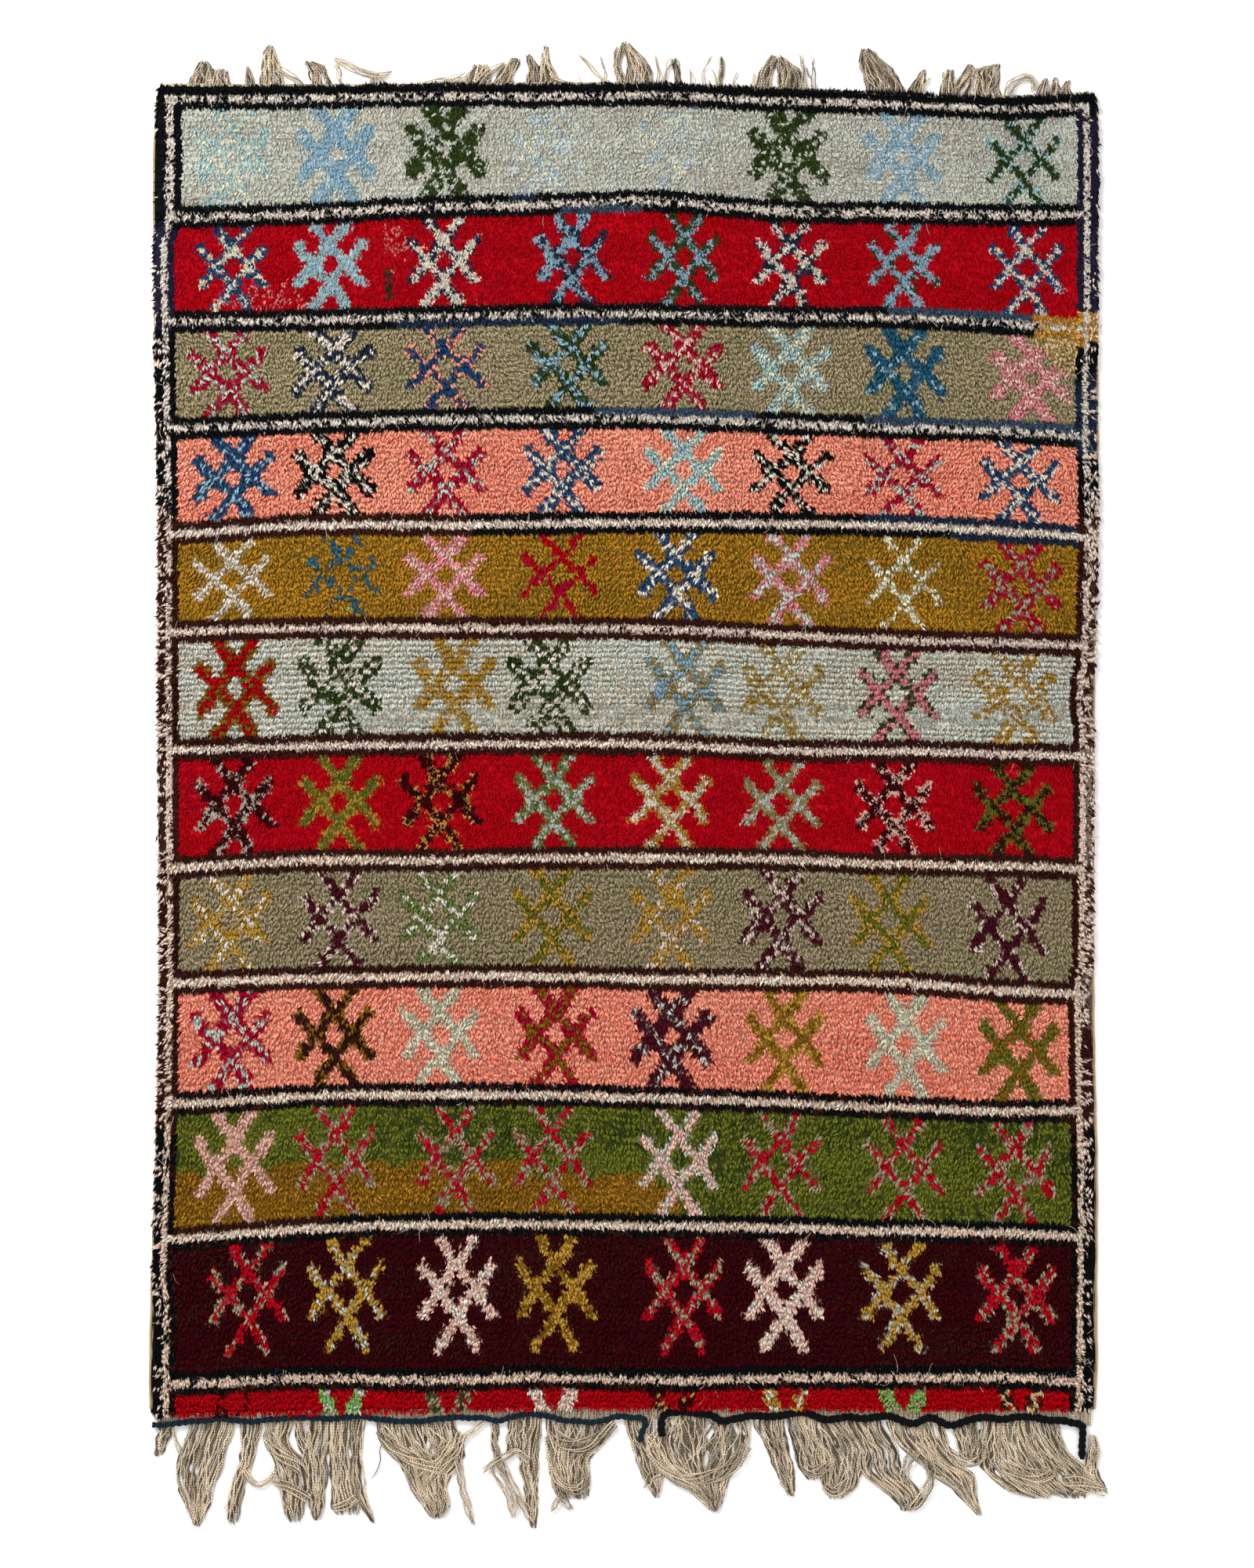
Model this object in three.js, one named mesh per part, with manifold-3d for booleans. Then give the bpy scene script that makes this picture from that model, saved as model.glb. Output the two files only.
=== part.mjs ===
// A hand-knotted star rug, lying flat: one cloth of foundation and yarn pile, warp fringes at its far and near
// ends, and two cords twined over the warp ends along the near end.
// Millimetres, +Z up. The underside lies on z = 0, the far end points to +Y, and the origin is the middle of the
// whole thing's footprint. "Down" is the distance from the far end towards the near end.
import * as THREE from "three";
import Module from "manifold-3d";

const wasm = await Module();
wasm.setup();

// ---------------------------------------------------------------- sizes of the cloth
const CLOTH = {
  width: 1500, // nominal, before the sides' own waver
  length: 2124,
  lip: 1.5, // how far the underside stays in from the selvedge
  selvedgeZ: 2.6, // height of the corded edge of the foundation
  pileFootZ: 6.5, // height at which the rim locks reach furthest out
  pileShoulder: 10, // from the rim in to the full pile
  pileZ: 13.2, // full height of the pile
  lockPitch: 24, // along the rim, from one pointed lock to the next
  lockReach: 3.6, // how far a rim lock's tip stands out of the valleys beside it
};
// Corner radii of the outline.
const CORNER = { nearLeft: 7, nearRight: 7, farRight: 24, farLeft: 9 };
// How far the pile stays back from the foundation's own edge on each side: only the near end shows bare cloth.
const BARE = { left: 0.5, right: 0.5, near: 5.5, far: 0.5 };
// Shallow relief of the pile: troughs where two borders meet, one crease across the sixth band, soft lumps.
const RELIEF = { trough: 1.3, troughHalf: 9, crease: 2.4, creaseHalf: 10, lump: 0.75 };
const CREASE = { down: 1022, from: -470, to: 700 };

// Where the two long sides run: at each distance down, x of the left and the right selvedge.
const SIDES = [
  { down: 4, left: -751, right: 749 },
  { down: 74, left: -756, right: 751 },
  { down: 261, left: -758, right: 751 },
  { down: 511, left: -754, right: 751 },
  { down: 699, left: -751, right: 752 },
  { down: 949, left: -751, right: 746 },
  { down: 1136, left: -750, right: 745 },
  { down: 1511, left: -750, right: 745 },
  { down: 1761, left: -756, right: 750 },
  { down: 1949, left: -762, right: 749 },
  { down: 2074, left: -764, right: 749 },
  { down: 2139, left: -763, right: 745 },
];

// The lines that cross the cloth bow upwards: distance down of each at six stations across.
const STATIONS = [-732, -389, -76, 249, 549, 736];
const FAR_EDGE = [4, 5, 2, 10, 25, 18];
const NEAR_EDGE = [2134, 2128, 2124, 2126, 2129, 2128];
// The pale middle of each border between two bands, named by the band below it.
const BORDERS = [
  { band: "grey 1", down: [30, 26, 25, 34, 45, 41] },
  { band: "red 2", down: [221, 205, 196, 210, 216, 216] },
  { band: "taupe 3", down: [388, 381, 374, 379, 388, 400] },
  { band: "salmon 4", down: [559, 544, 539, 549, 560, 570] },
  { band: "mustard 5", down: [725, 711, 708, 709, 718, 730] },
  { band: "grey 6", down: [881, 876, 876, 886, 894, 904] },
  { band: "red 7", down: [1069, 1060, 1060, 1070, 1075, 1079] },
  { band: "taupe 8", down: [1259, 1246, 1242, 1244, 1255, 1259] },
  { band: "salmon 9", down: [1442, 1431, 1431, 1438, 1450, 1460] },
  { band: "olive 10", down: [1635, 1619, 1621, 1631, 1645, 1644] },
  { band: "maroon 11", down: [1850, 1831, 1829, 1832, 1841, 1846] },
  { band: "red 12", down: [2082, 2074, 2072, 2071, 2072, 2078] },
];

// ---------------------------------------------------------------- sizes of fringes and cords
const STRIP = { gap: 0.6, high: 2.4, near: 9.6, far: 5 }; // the backing that holds a fringe's roots
const STRAND = { rootWide: 4.4, rootHigh: 1.8, high: 4.4, tipWide: 1.8, tipHigh: 1.2, fill: 0.76 };
const SWAY = { near: 7, far: 1.5, wave: 150 }; // bunches side by side swing alike
// Bunches of the near fringe: where the roots start and end, where the tips gather, reach past the cloth's edge.
const NEAR_BUNCHES = [
  { from: -744, to: -730, tip: -750, reach: 55, strands: 1 },
  { from: -725, to: -719, tip: -715, reach: 58, strands: 1 },
  { from: -700, to: -628, tip: -689, reach: 166, strands: 7 },
  { from: -614, to: -582, tip: -632, reach: 164, strands: 3 },
  { from: -578, to: -531, tip: -535, reach: 158, strands: 5 },
  { from: -526, to: -480, tip: -498, reach: 156, strands: 5 },
  { from: -475, to: -446, tip: -451, reach: 144, strands: 3 },
  { from: -441, to: -419, tip: -406, reach: 159, strands: 2 },
  { from: -395, to: -316, tip: -305, reach: 152, strands: 8 },
  { from: -311, to: -261, tip: -248, reach: 161, strands: 5 },
  { from: -218, to: -182, tip: -185, reach: 154, strands: 4 },
  { from: -179, to: -140, tip: -152, reach: 168, strands: 4 },
  { from: -130, to: -76, tip: -122, reach: 141, strands: 5 },
  { from: -71, to: -10, tip: -88, reach: 140, strands: 6 },
  { from: 0, to: 86, tip: 46, reach: 120, strands: 9 },
  { from: 92, to: 196, tip: 139, reach: 144, strands: 10 },
  { from: 199, to: 249, tip: 258, reach: 116, strands: 5 },
  { from: 256, to: 299, tip: 290, reach: 90, strands: 4 },
  { from: 305, to: 361, tip: 325, reach: 122, strands: 6 },
  { from: 364, to: 412, tip: 444, reach: 141, strands: 5 },
  { from: 416, to: 512, tip: 560, reach: 145, strands: 9 },
  { from: 520, to: 605, tip: 678, reach: 120, strands: 8 },
  { from: 611, to: 692, tip: 743, reach: 111, strands: 8 },
  { from: 730, to: 739, tip: 742, reach: 22, strands: 1 },
];
// Bunches of the far fringe, which peek out from under the first row of pile.
const FAR_BUNCHES = [
  { from: -695, to: -666, tip: -679, reach: 36, strands: 2 },
  { from: -658, to: -629, tip: -642, reach: 26, strands: 2 },
  { from: -620, to: -595, tip: -605, reach: 28, strands: 2 },
  { from: -588, to: -516, tip: -562, reach: 61, strands: 6 },
  { from: -501, to: -475, tip: -510, reach: 38, strands: 2 },
  { from: -471, to: -445, tip: -466, reach: 39, strands: 2 },
  { from: -414, to: -351, tip: -375, reach: 19, strands: 5 },
  { from: -334, to: -251, tip: -289, reach: 11, strands: 7 },
  { from: -244, to: -220, tip: -231, reach: 34, strands: 2 },
  { from: -211, to: -189, tip: -200, reach: 35, strands: 2 },
  { from: -182, to: -166, tip: -175, reach: 42, strands: 1 },
  { from: -164, to: -146, tip: -158, reach: 44, strands: 1 },
  { from: -141, to: -111, tip: -130, reach: 60, strands: 2 },
  { from: -91, to: -64, tip: -79, reach: 14, strands: 2 },
  { from: -54, to: -29, tip: -40, reach: 46, strands: 2 },
  { from: -21, to: 36, tip: -4, reach: 66, strands: 5 },
  { from: 39, to: 56, tip: 46, reach: 46, strands: 1 },
  { from: 64, to: 84, tip: 74, reach: 42, strands: 2 },
  { from: 89, to: 111, tip: 100, reach: 31, strands: 2 },
  { from: 124, to: 141, tip: 134, reach: 52, strands: 2 },
  { from: 144, to: 161, tip: 152, reach: 48, strands: 2 },
  { from: 164, to: 186, tip: 174, reach: 26, strands: 2 },
  { from: 218, to: 236, tip: 229, reach: 52, strands: 2 },
  { from: 239, to: 259, tip: 246, reach: 52, strands: 2 },
  { from: 266, to: 286, tip: 276, reach: 53, strands: 2 },
  { from: 289, to: 311, tip: 298, reach: 47, strands: 2 },
  { from: 382, to: 444, tip: 385, reach: 69, strands: 5 },
  { from: 461, to: 489, tip: 474, reach: 40, strands: 2 },
  { from: 506, to: 531, tip: 519, reach: 43, strands: 2 },
  { from: 536, to: 561, tip: 548, reach: 50, strands: 2 },
  { from: 576, to: 604, tip: 589, reach: 50, strands: 2 },
  { from: 636, to: 659, tip: 649, reach: 31, strands: 2 },
  { from: 665, to: 702, tip: 684, reach: 22, strands: 3 },
];
const CORD = { radius: 2.6, oval: 0.15, sides: 6, step: 12, turn: Math.PI / 4, inset: 5.6, gap: 0.35 };
const TAIL_Z = STRAND.high + CORD.gap + CORD.radius * (1 + CORD.oval) + 0.2; // a tail lies over the strands
// Each cord: where it runs along the near end, and its loose tails past the edge as [x, reach] points.
const CORDS = [
  { name: "end_cord_navy", colour: 0x23324a, from: -760, to: 2, start: [], end: [[12, 12], [15, 34]] },
  {
    name: "end_cord_black",
    colour: 0x14161a,
    from: 62,
    to: 728,
    start: [[50, 34], [52, 14]],
    end: [[733, 14], [731, 66]],
  },
];

// ---------------------------------------------------------------- helpers
// Repeatable numbers from 0 to 1.
function seeded(seed) {
  let state = seed;
  return () => {
    state = (state + 0x6d2b79f5) | 0;
    let t = Math.imul(state ^ (state >>> 15), 1 | state);
    t = (t + Math.imul(t ^ (t >>> 7), 61 | t)) ^ t;
    return ((t ^ (t >>> 14)) >>> 0) / 4294967296;
  };
}

// A smooth curve through values given at increasing places, held level past its ends.
function through(places, values) {
  const slopes = values.map((_, i) => {
    const a = Math.max(i - 1, 0);
    const b = Math.min(i + 1, values.length - 1);
    return (values[b] - values[a]) / (places[b] - places[a]);
  });
  return (p) => {
    if (p <= places[0]) return values[0];
    if (p >= places[places.length - 1]) return values[values.length - 1];
    const i = places.findIndex((q) => q > p) - 1;
    const span = places[i + 1] - places[i];
    const t = (p - places[i]) / span;
    const rise = t * t * (3 - 2 * t);
    const start = t * (1 - t) * (1 - t) * span * slopes[i];
    const end = t * t * (1 - t) * span * slopes[i + 1];
    return values[i] + (values[i + 1] - values[i]) * rise + start - end;
  };
}

const leftSide = through(SIDES.map((s) => s.down), SIDES.map((s) => s.left));
const rightSide = through(SIDES.map((s) => s.down), SIDES.map((s) => s.right));
const farEdge = through(STATIONS, FAR_EDGE);
const nearEdge = through(STATIONS, NEAR_EDGE);
const borders = BORDERS.map((b) => through(STATIONS, b.down));
const lerp = THREE.MathUtils.lerp;

// A place on the nominal rectangle (x from -width/2, down from 0) carried to the real, wavering outline.
function onCloth(x, down) {
  const s = x / CLOTH.width + 0.5;
  const t = down / CLOTH.length;
  const realX = lerp(leftSide(down), rightSide(down), s);
  return { x: realX, down: lerp(farEdge(realX), nearEdge(realX), t) };
}

// Height of the pile's surface above the floor.
function pileHeight(x, down) {
  const bell = (d, half) => Math.exp(-((d / half) ** 2));
  let z = CLOTH.pileZ;
  z += RELIEF.lump * Math.sin(x / 61 + 1.3) * Math.sin(down / 83 + 0.4);
  z += 0.6 * RELIEF.lump * Math.sin(x / 37 - down / 49);
  for (const border of borders) z -= RELIEF.trough * bell(down - border(x), RELIEF.troughHalf);
  if (x > CREASE.from && x < CREASE.to) z -= RELIEF.crease * bell(down - CREASE.down, RELIEF.creaseHalf);
  return z;
}

// Rounded rectangle on the nominal cloth, drawn in on each side by its own amount, anticlockwise from the near left
// corner: points with their outward normals, always the same even number, so lock tips and valleys can alternate.
function outline(drawnIn) {
  const left = -CLOTH.width / 2 + drawnIn.left;
  const right = CLOTH.width / 2 - drawnIn.right;
  const far = drawnIn.far;
  const near = CLOTH.length - drawnIn.near;
  const corners = [
    { x: left, down: near, r: CORNER.nearLeft, in: drawnIn.near, turn: Math.PI, run: CLOTH.width },
    { x: right, down: near, r: CORNER.nearRight, in: drawnIn.near, turn: 1.5 * Math.PI, run: CLOTH.length },
    { x: right, down: far, r: CORNER.farRight, in: drawnIn.far, turn: 0, run: CLOTH.width },
    { x: left, down: far, r: CORNER.farLeft, in: drawnIn.far, turn: 0.5 * Math.PI, run: CLOTH.length },
  ];
  const round = corners.map((c) => {
    const r = Math.max(c.r - c.in, 2);
    return { x: c.x + (c.x < 0 ? r : -r), down: c.down + (c.down > far ? -r : r), r };
  });
  const points = [];
  const add = (x, down, a) => points.push({ x, down, nx: Math.cos(a), nd: -Math.sin(a) });
  corners.forEach((c, i) => {
    const here = round[i];
    const next = round[(i + 1) % corners.length];
    for (const part of [0.25, 0.75]) {
      const a = c.turn + (part * Math.PI) / 2;
      add(here.x + here.r * Math.cos(a), here.down - here.r * Math.sin(a), a);
    }
    const a = c.turn + Math.PI / 2;
    const steps = 2 * Math.round(c.run / CLOTH.lockPitch);
    for (let k = 0; k < steps; k++) {
      const t = (k + 0.5) / steps;
      const x = lerp(here.x + here.r * Math.cos(a), next.x + next.r * Math.cos(a), t);
      add(x, lerp(here.down - here.r * Math.sin(a), next.down - next.r * Math.sin(a), t), a);
    }
  });
  return points;
}

// Collects points and triangles of one closed body.
class Body {
  constructor() {
    this.points = [];
    this.faces = [];
  }
  add(x, y, z) {
    this.points.push(x, y, z);
    return this.points.length / 3 - 1;
  }
  face(a, b, c) {
    this.faces.push(a, b, c);
  }
  quad(a, b, c, d) {
    this.face(a, b, c);
    this.face(a, c, d);
  }
  // Joins a closed low ring to a closed high one that has as many points, or twice as many.
  skirt(low, high) {
    const n = low.length;
    const each = high.length / n;
    for (let i = 0; i < n; i++) {
      const a = low[i];
      const b = low[(i + 1) % n];
      const up = (k) => high[(each * i + k) % high.length];
      if (each === 1) {
        this.quad(a, b, up(1), up(0));
      } else {
        this.face(a, up(1), up(0));
        this.face(a, b, up(1));
        this.face(b, up(2), up(1));
      }
    }
  }
  // Fills a flat ring, with an optional hole, seen from above or from below.
  fill(ring, hole, upwards) {
    const flat = (k) => new THREE.Vector2(this.points[3 * k], this.points[3 * k + 1]);
    const all = [...ring, ...hole];
    const holes = hole.length ? [hole.map(flat)] : [];
    for (const [i, j, k] of THREE.ShapeUtils.triangulateShape(ring.map(flat), holes)) {
      const turn = THREE.ShapeUtils.area([flat(all[i]), flat(all[j]), flat(all[k])]);
      if (turn > 0 === upwards) this.face(all[i], all[j], all[k]);
      else this.face(all[i], all[k], all[j]);
    }
  }
  manifold() {
    const mesh = new wasm.Mesh({
      numProp: 3,
      vertProperties: new Float32Array(this.points),
      triVerts: new Uint32Array(this.faces),
    });
    return new wasm.Manifold(mesh);
  }
}

// A scene-graph mesh of a finished solid, in the material it is made of.
function meshOf(name, solid, colour, roughness) {
  const made = solid.getMesh();
  const geometry = new THREE.BufferGeometry();
  geometry.setAttribute("position", new THREE.BufferAttribute(new Float32Array(made.vertProperties), 3));
  geometry.setIndex(new THREE.BufferAttribute(new Uint32Array(made.triVerts), 1));
  geometry.computeVertexNormals();
  const mesh = new THREE.Mesh(geometry, new THREE.MeshStandardMaterial({ color: colour, roughness, metalness: 0 }));
  mesh.name = name;
  return mesh;
}

const Y0 = CLOTH.length / 2;

// ---------------------------------------------------------------- the cloth
function rug() {
  const random = seeded(7);
  const body = new Body();
  const even = (inset) => ({ left: inset, right: inset, near: inset, far: inset });
  const pileIn = (inset) => Object.fromEntries(Object.entries(BARE).map(([side, bare]) => [side, bare + inset]));
  const place = (p, out, z) => {
    const q = onCloth(p.x + p.nx * out, p.down + p.nd * out);
    return body.add(q.x, Y0 - q.down, typeof z === "function" ? z(q.x, q.down) : z);
  };
  const half = (points) => points.filter((_, i) => i % 2 === 0);
  const foot = half(outline(even(CLOTH.lip))).map((p) => place(p, 0, 0));
  const selvedge = half(outline(even(0))).map((p) => place(p, 0, CLOTH.selvedgeZ));
  const locks = outline(pileIn(0)).map((p, i) => {
    const tip = i % 2 === 1;
    const out = tip ? CLOTH.lockReach * (0.55 + 0.45 * random()) : -0.3;
    return place(p, out, CLOTH.pileFootZ + (tip ? -0.4 : 0.6));
  });
  const shoulder = outline(pileIn(CLOTH.pileShoulder)).map((p) => place(p, 0, pileHeight));
  body.fill(foot, [], false);
  body.skirt(foot, selvedge);
  body.skirt(selvedge, locks);
  body.skirt(locks, shoulder);

  // The pile's surface: columns across, rows that follow each border and lie evenly in each band.
  const margin = 34;
  const columns = 22;
  const rows = [];
  borders.forEach((border, k) => {
    const side = RELIEF.troughHalf * 1.6;
    for (const step of k === 0 ? [side] : [-side, 0, side]) rows.push((x) => border(x) + step);
    const next = borders[k + 1];
    if (!next) return;
    if (k === 5) for (const step of [-16, 0, 16]) rows.push(() => CREASE.down + step);
    else for (const t of [0.25, 0.5, 0.75]) rows.push((x) => lerp(border(x), next(x), t));
  });
  const grid = rows.map((row) =>
    Array.from({ length: columns }, (_, i) => {
      const s = i / (columns - 1);
      const nominal = lerp(-CLOTH.width / 2 + margin, CLOTH.width / 2 - margin, s);
      const x = onCloth(nominal, row(nominal)).x;
      const down = row(x);
      return body.add(x, Y0 - down, pileHeight(x, down));
    }),
  );
  for (let r = 1; r < grid.length; r++)
    for (let i = 1; i < columns; i++)
      body.quad(grid[r][i - 1], grid[r][i], grid[r - 1][i], grid[r - 1][i - 1]);
  const last = grid.length - 1;
  const inner = [
    ...grid[last].slice(0, -1),
    ...grid.map((row) => row[columns - 1]).slice(1).reverse(),
    ...grid[0].slice(1).reverse(),
    ...grid.map((row) => row[0]).slice(0, -1),
  ];
  body.fill(shoulder, inner, true);
  return body.manifold();
}

// ---------------------------------------------------------------- fringes
// The backing: a flat strip that follows the cloth's edge. Outwards is +1 past the near end, -1 past the far end.
function strip(edge, outwards, wide, from, to) {
  const body = new Body();
  const steps = 26;
  const rings = [];
  for (let i = 0; i <= steps; i++) {
    const x = lerp(from, to, i / steps);
    const inner = Y0 - (edge(x) + outwards * STRIP.gap);
    const outer = Y0 - (edge(x) + outwards * (STRIP.gap + wide));
    const [low, high] = inner < outer ? [inner, outer] : [outer, inner];
    rings.push([
      body.add(x, low, 0),
      body.add(x, high, 0),
      body.add(x, high, STRIP.high),
      body.add(x, low, STRIP.high),
    ]);
  }
  for (let i = 0; i < steps; i++)
    for (let k = 0; k < 4; k++) {
      const n = (k + 1) % 4;
      body.quad(rings[i][k], rings[i][n], rings[i + 1][n], rings[i + 1][k]);
    }
  const [a, b] = [rings[0], rings[steps]];
  body.quad(a[3], a[2], a[1], a[0]);
  body.quad(b[0], b[1], b[2], b[3]);
  return body.manifold();
}

// One strand: a three-sided lock with its flat side on the floor. Each section is {x, y, wide, high}.
function strand(sections) {
  const body = new Body();
  const rings = sections.map((s, i) => {
    const before = sections[Math.max(i - 1, 0)];
    const after = sections[Math.min(i + 1, sections.length - 1)];
    const along = new THREE.Vector2(after.x - before.x, after.y - before.y).normalize();
    const half = s.wide / 2;
    return [
      body.add(s.x + along.y * half, s.y - along.x * half, 0),
      body.add(s.x - along.y * half, s.y + along.x * half, 0),
      body.add(s.x, s.y, s.high),
    ];
  });
  for (let i = 1; i < rings.length; i++)
    for (let k = 0; k < 3; k++) {
      const n = (k + 1) % 3;
      body.quad(rings[i - 1][k], rings[i - 1][n], rings[i][n], rings[i][k]);
    }
  const [a, b] = [rings[0], rings[rings.length - 1]];
  body.face(a[2], a[1], a[0]);
  body.face(b[0], b[1], b[2]);
  return body.manifold();
}

// All strands of one end. A bunch's strands keep their order from root to tip, so none touches its neighbour.
function fringe(bunches, edge, outwards, options) {
  const random = seeded(options.seed);
  const { wide, sway, stops, tipPitch } = options;
  const solids = [strip(edge, outwards, wide, options.from, options.to)];
  const smooth = (t) => t * t * (3 - 2 * t);
  for (const bunch of bunches) {
    const n = bunch.strands;
    const pitch = (bunch.to - bunch.from) / n;
    for (let k = 0; k < n; k++) {
      const root = bunch.from + (k + 0.5) * pitch;
      const off = k - (n - 1) / 2;
      const tip = bunch.tip + off * Math.min(tipPitch, pitch);
      const share = n > 1 ? 1 - 0.26 * (Math.abs(off) / ((n - 1) / 2)) ** 2 * random() : 1;
      const sections = stops.map((stop, i) => {
        const t = stop * share;
        const swing = sway * Math.sin(root / SWAY.wave + 1) * Math.sin(Math.PI * t);
        const x = lerp(root, tip, smooth(t)) + swing;
        const start = STRIP.gap + wide * 0.6;
        const reach = start + (bunch.reach - start) * t;
        const slant = ((tip - root) * 6 * t * (1 - t)) / (bunch.reach - start);
        const room = (lerp(pitch, Math.min(tipPitch, pitch), smooth(t)) * STRAND.fill) / Math.hypot(1, slant);
        const y = Y0 - (edge(x) + outwards * reach);
        if (i === 0) return { x, y, wide: STRAND.rootWide, high: STRAND.rootHigh };
        if (i === stops.length - 1) return { x, y, wide: STRAND.tipWide, high: STRAND.tipHigh };
        return { x, y, wide: room, high: Math.min(STRAND.high, room * 0.62) };
      });
      solids.push(strand(sections));
    }
  }
  return wasm.Manifold.union(solids);
}

// ---------------------------------------------------------------- cords
// One twined cord: an oval section that turns as it goes, along the near end and out into its loose tails.
function endCord(cord) {
  const lift = STRIP.high + CORD.gap + CORD.radius * (1 + CORD.oval);
  const spine = [];
  for (const [x, reach] of cord.start)
    spine.push(new THREE.Vector3(x, Y0 - (nearEdge(x) + CORD.inset + reach), TAIL_Z));
  const runs = Math.round((cord.to - cord.from) / 60);
  for (let i = 0; i <= runs; i++) {
    const x = lerp(cord.from, cord.to, i / runs);
    spine.push(new THREE.Vector3(x, Y0 - (nearEdge(x) + CORD.inset), lift));
  }
  for (const [x, reach] of cord.end)
    spine.push(new THREE.Vector3(x, Y0 - (nearEdge(x) + CORD.inset + reach), TAIL_Z));
  const path = new THREE.CatmullRomCurve3(spine, false, "centripetal");
  const steps = Math.round(path.getLength() / CORD.step);
  const body = new Body();
  const rings = [];
  for (let i = 0; i <= steps; i++) {
    const at = path.getPointAt(i / steps);
    const along = path.getTangentAt(i / steps);
    const across = new THREE.Vector3(0, 0, 1).cross(along).normalize();
    const up = along.clone().cross(across);
    rings.push(
      Array.from({ length: CORD.sides }, (_, k) => {
        const a = (2 * Math.PI * k) / CORD.sides;
        const r = CORD.radius * (1 + CORD.oval * Math.cos(2 * (a - i * CORD.turn)));
        const p = at.clone().addScaledVector(across, r * Math.cos(a)).addScaledVector(up, r * Math.sin(a));
        return body.add(p.x, p.y, p.z);
      }),
    );
  }
  for (let i = 1; i < rings.length; i++)
    for (let k = 0; k < CORD.sides; k++) {
      const n = (k + 1) % CORD.sides;
      body.quad(rings[i - 1][k], rings[i - 1][n], rings[i][n], rings[i][k]);
    }
  for (let k = 1; k + 1 < CORD.sides; k++) {
    body.face(rings[0][0], rings[0][k + 1], rings[0][k]);
    body.face(rings[steps][0], rings[steps][k], rings[steps][k + 1]);
  }
  return body.manifold();
}

// ---------------------------------------------------------------- the whole thing
const whole = new THREE.Group();
whole.add(meshOf("rug", rug(), 0x8a6a5a, 0.95));
const NEAR = { wide: STRIP.near, sway: SWAY.near, stops: [0, 0.14, 0.45, 0.78, 1], tipPitch: 5.6, seed: 21 };
const FAR = { wide: STRIP.far, sway: SWAY.far, stops: [0, 0.3, 0.7, 1], tipPitch: 6, seed: 22 };
const nearFringe = fringe(NEAR_BUNCHES, nearEdge, 1, { ...NEAR, from: -748, to: 742 });
const farFringe = fringe(FAR_BUNCHES, farEdge, -1, { ...FAR, from: -716, to: 712 });
whole.add(meshOf("fringe_bottom", nearFringe, 0xb5a58c, 0.9));
whole.add(meshOf("fringe_top", farFringe, 0xb5a58c, 0.9));
for (const cord of CORDS) whole.add(meshOf(cord.name, endCord(cord), cord.colour, 0.85));

// The origin goes to the middle of the footprint.
const middle = new THREE.Box3().setFromObject(whole).getCenter(new THREE.Vector3());
whole.position.set(-middle.x, -middle.y, 0);

export default whole;
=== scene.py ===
"""Visual model of a hand-knotted star rug lying flat: pile, foundation, selvedges, fringes and end cords.

Lengths in the classes are millimetres. "Down" is the distance from the cloth's far end towards its near end.
"""

import logging
import math
from dataclasses import dataclass, field
from enum import Enum, IntEnum
from functools import partial
from typing import Any, Callable, Sequence

import bpy
import numpy as np
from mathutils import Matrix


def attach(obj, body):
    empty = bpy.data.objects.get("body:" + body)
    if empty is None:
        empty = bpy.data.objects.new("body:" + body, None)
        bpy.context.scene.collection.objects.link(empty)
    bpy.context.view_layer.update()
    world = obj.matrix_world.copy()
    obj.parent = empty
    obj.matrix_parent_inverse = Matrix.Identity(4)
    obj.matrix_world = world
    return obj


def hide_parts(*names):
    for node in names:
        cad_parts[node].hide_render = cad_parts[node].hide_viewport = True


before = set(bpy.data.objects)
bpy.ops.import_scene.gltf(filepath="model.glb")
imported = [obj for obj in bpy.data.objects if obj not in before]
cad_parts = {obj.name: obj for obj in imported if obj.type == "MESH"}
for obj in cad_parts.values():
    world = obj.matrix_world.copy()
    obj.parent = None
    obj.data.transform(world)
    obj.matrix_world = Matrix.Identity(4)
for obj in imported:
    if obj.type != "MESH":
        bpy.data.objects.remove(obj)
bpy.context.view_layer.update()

Array = np.ndarray
Random = np.random.Generator
Pair = tuple[float, float]
Numbers = tuple[float, ...]
Table = tuple[Numbers, ...]
Settings = dict[str, Any]
Material = bpy.types.Material
Piece = bpy.types.Object
LOG = logging.getLogger("rug")
MM = 0.001  # one millimetre in metres
BODY = "root"  # the part's only body
UP = np.array([0.0, 0.0, 1.0])
SCENE = bpy.context.scene


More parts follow.
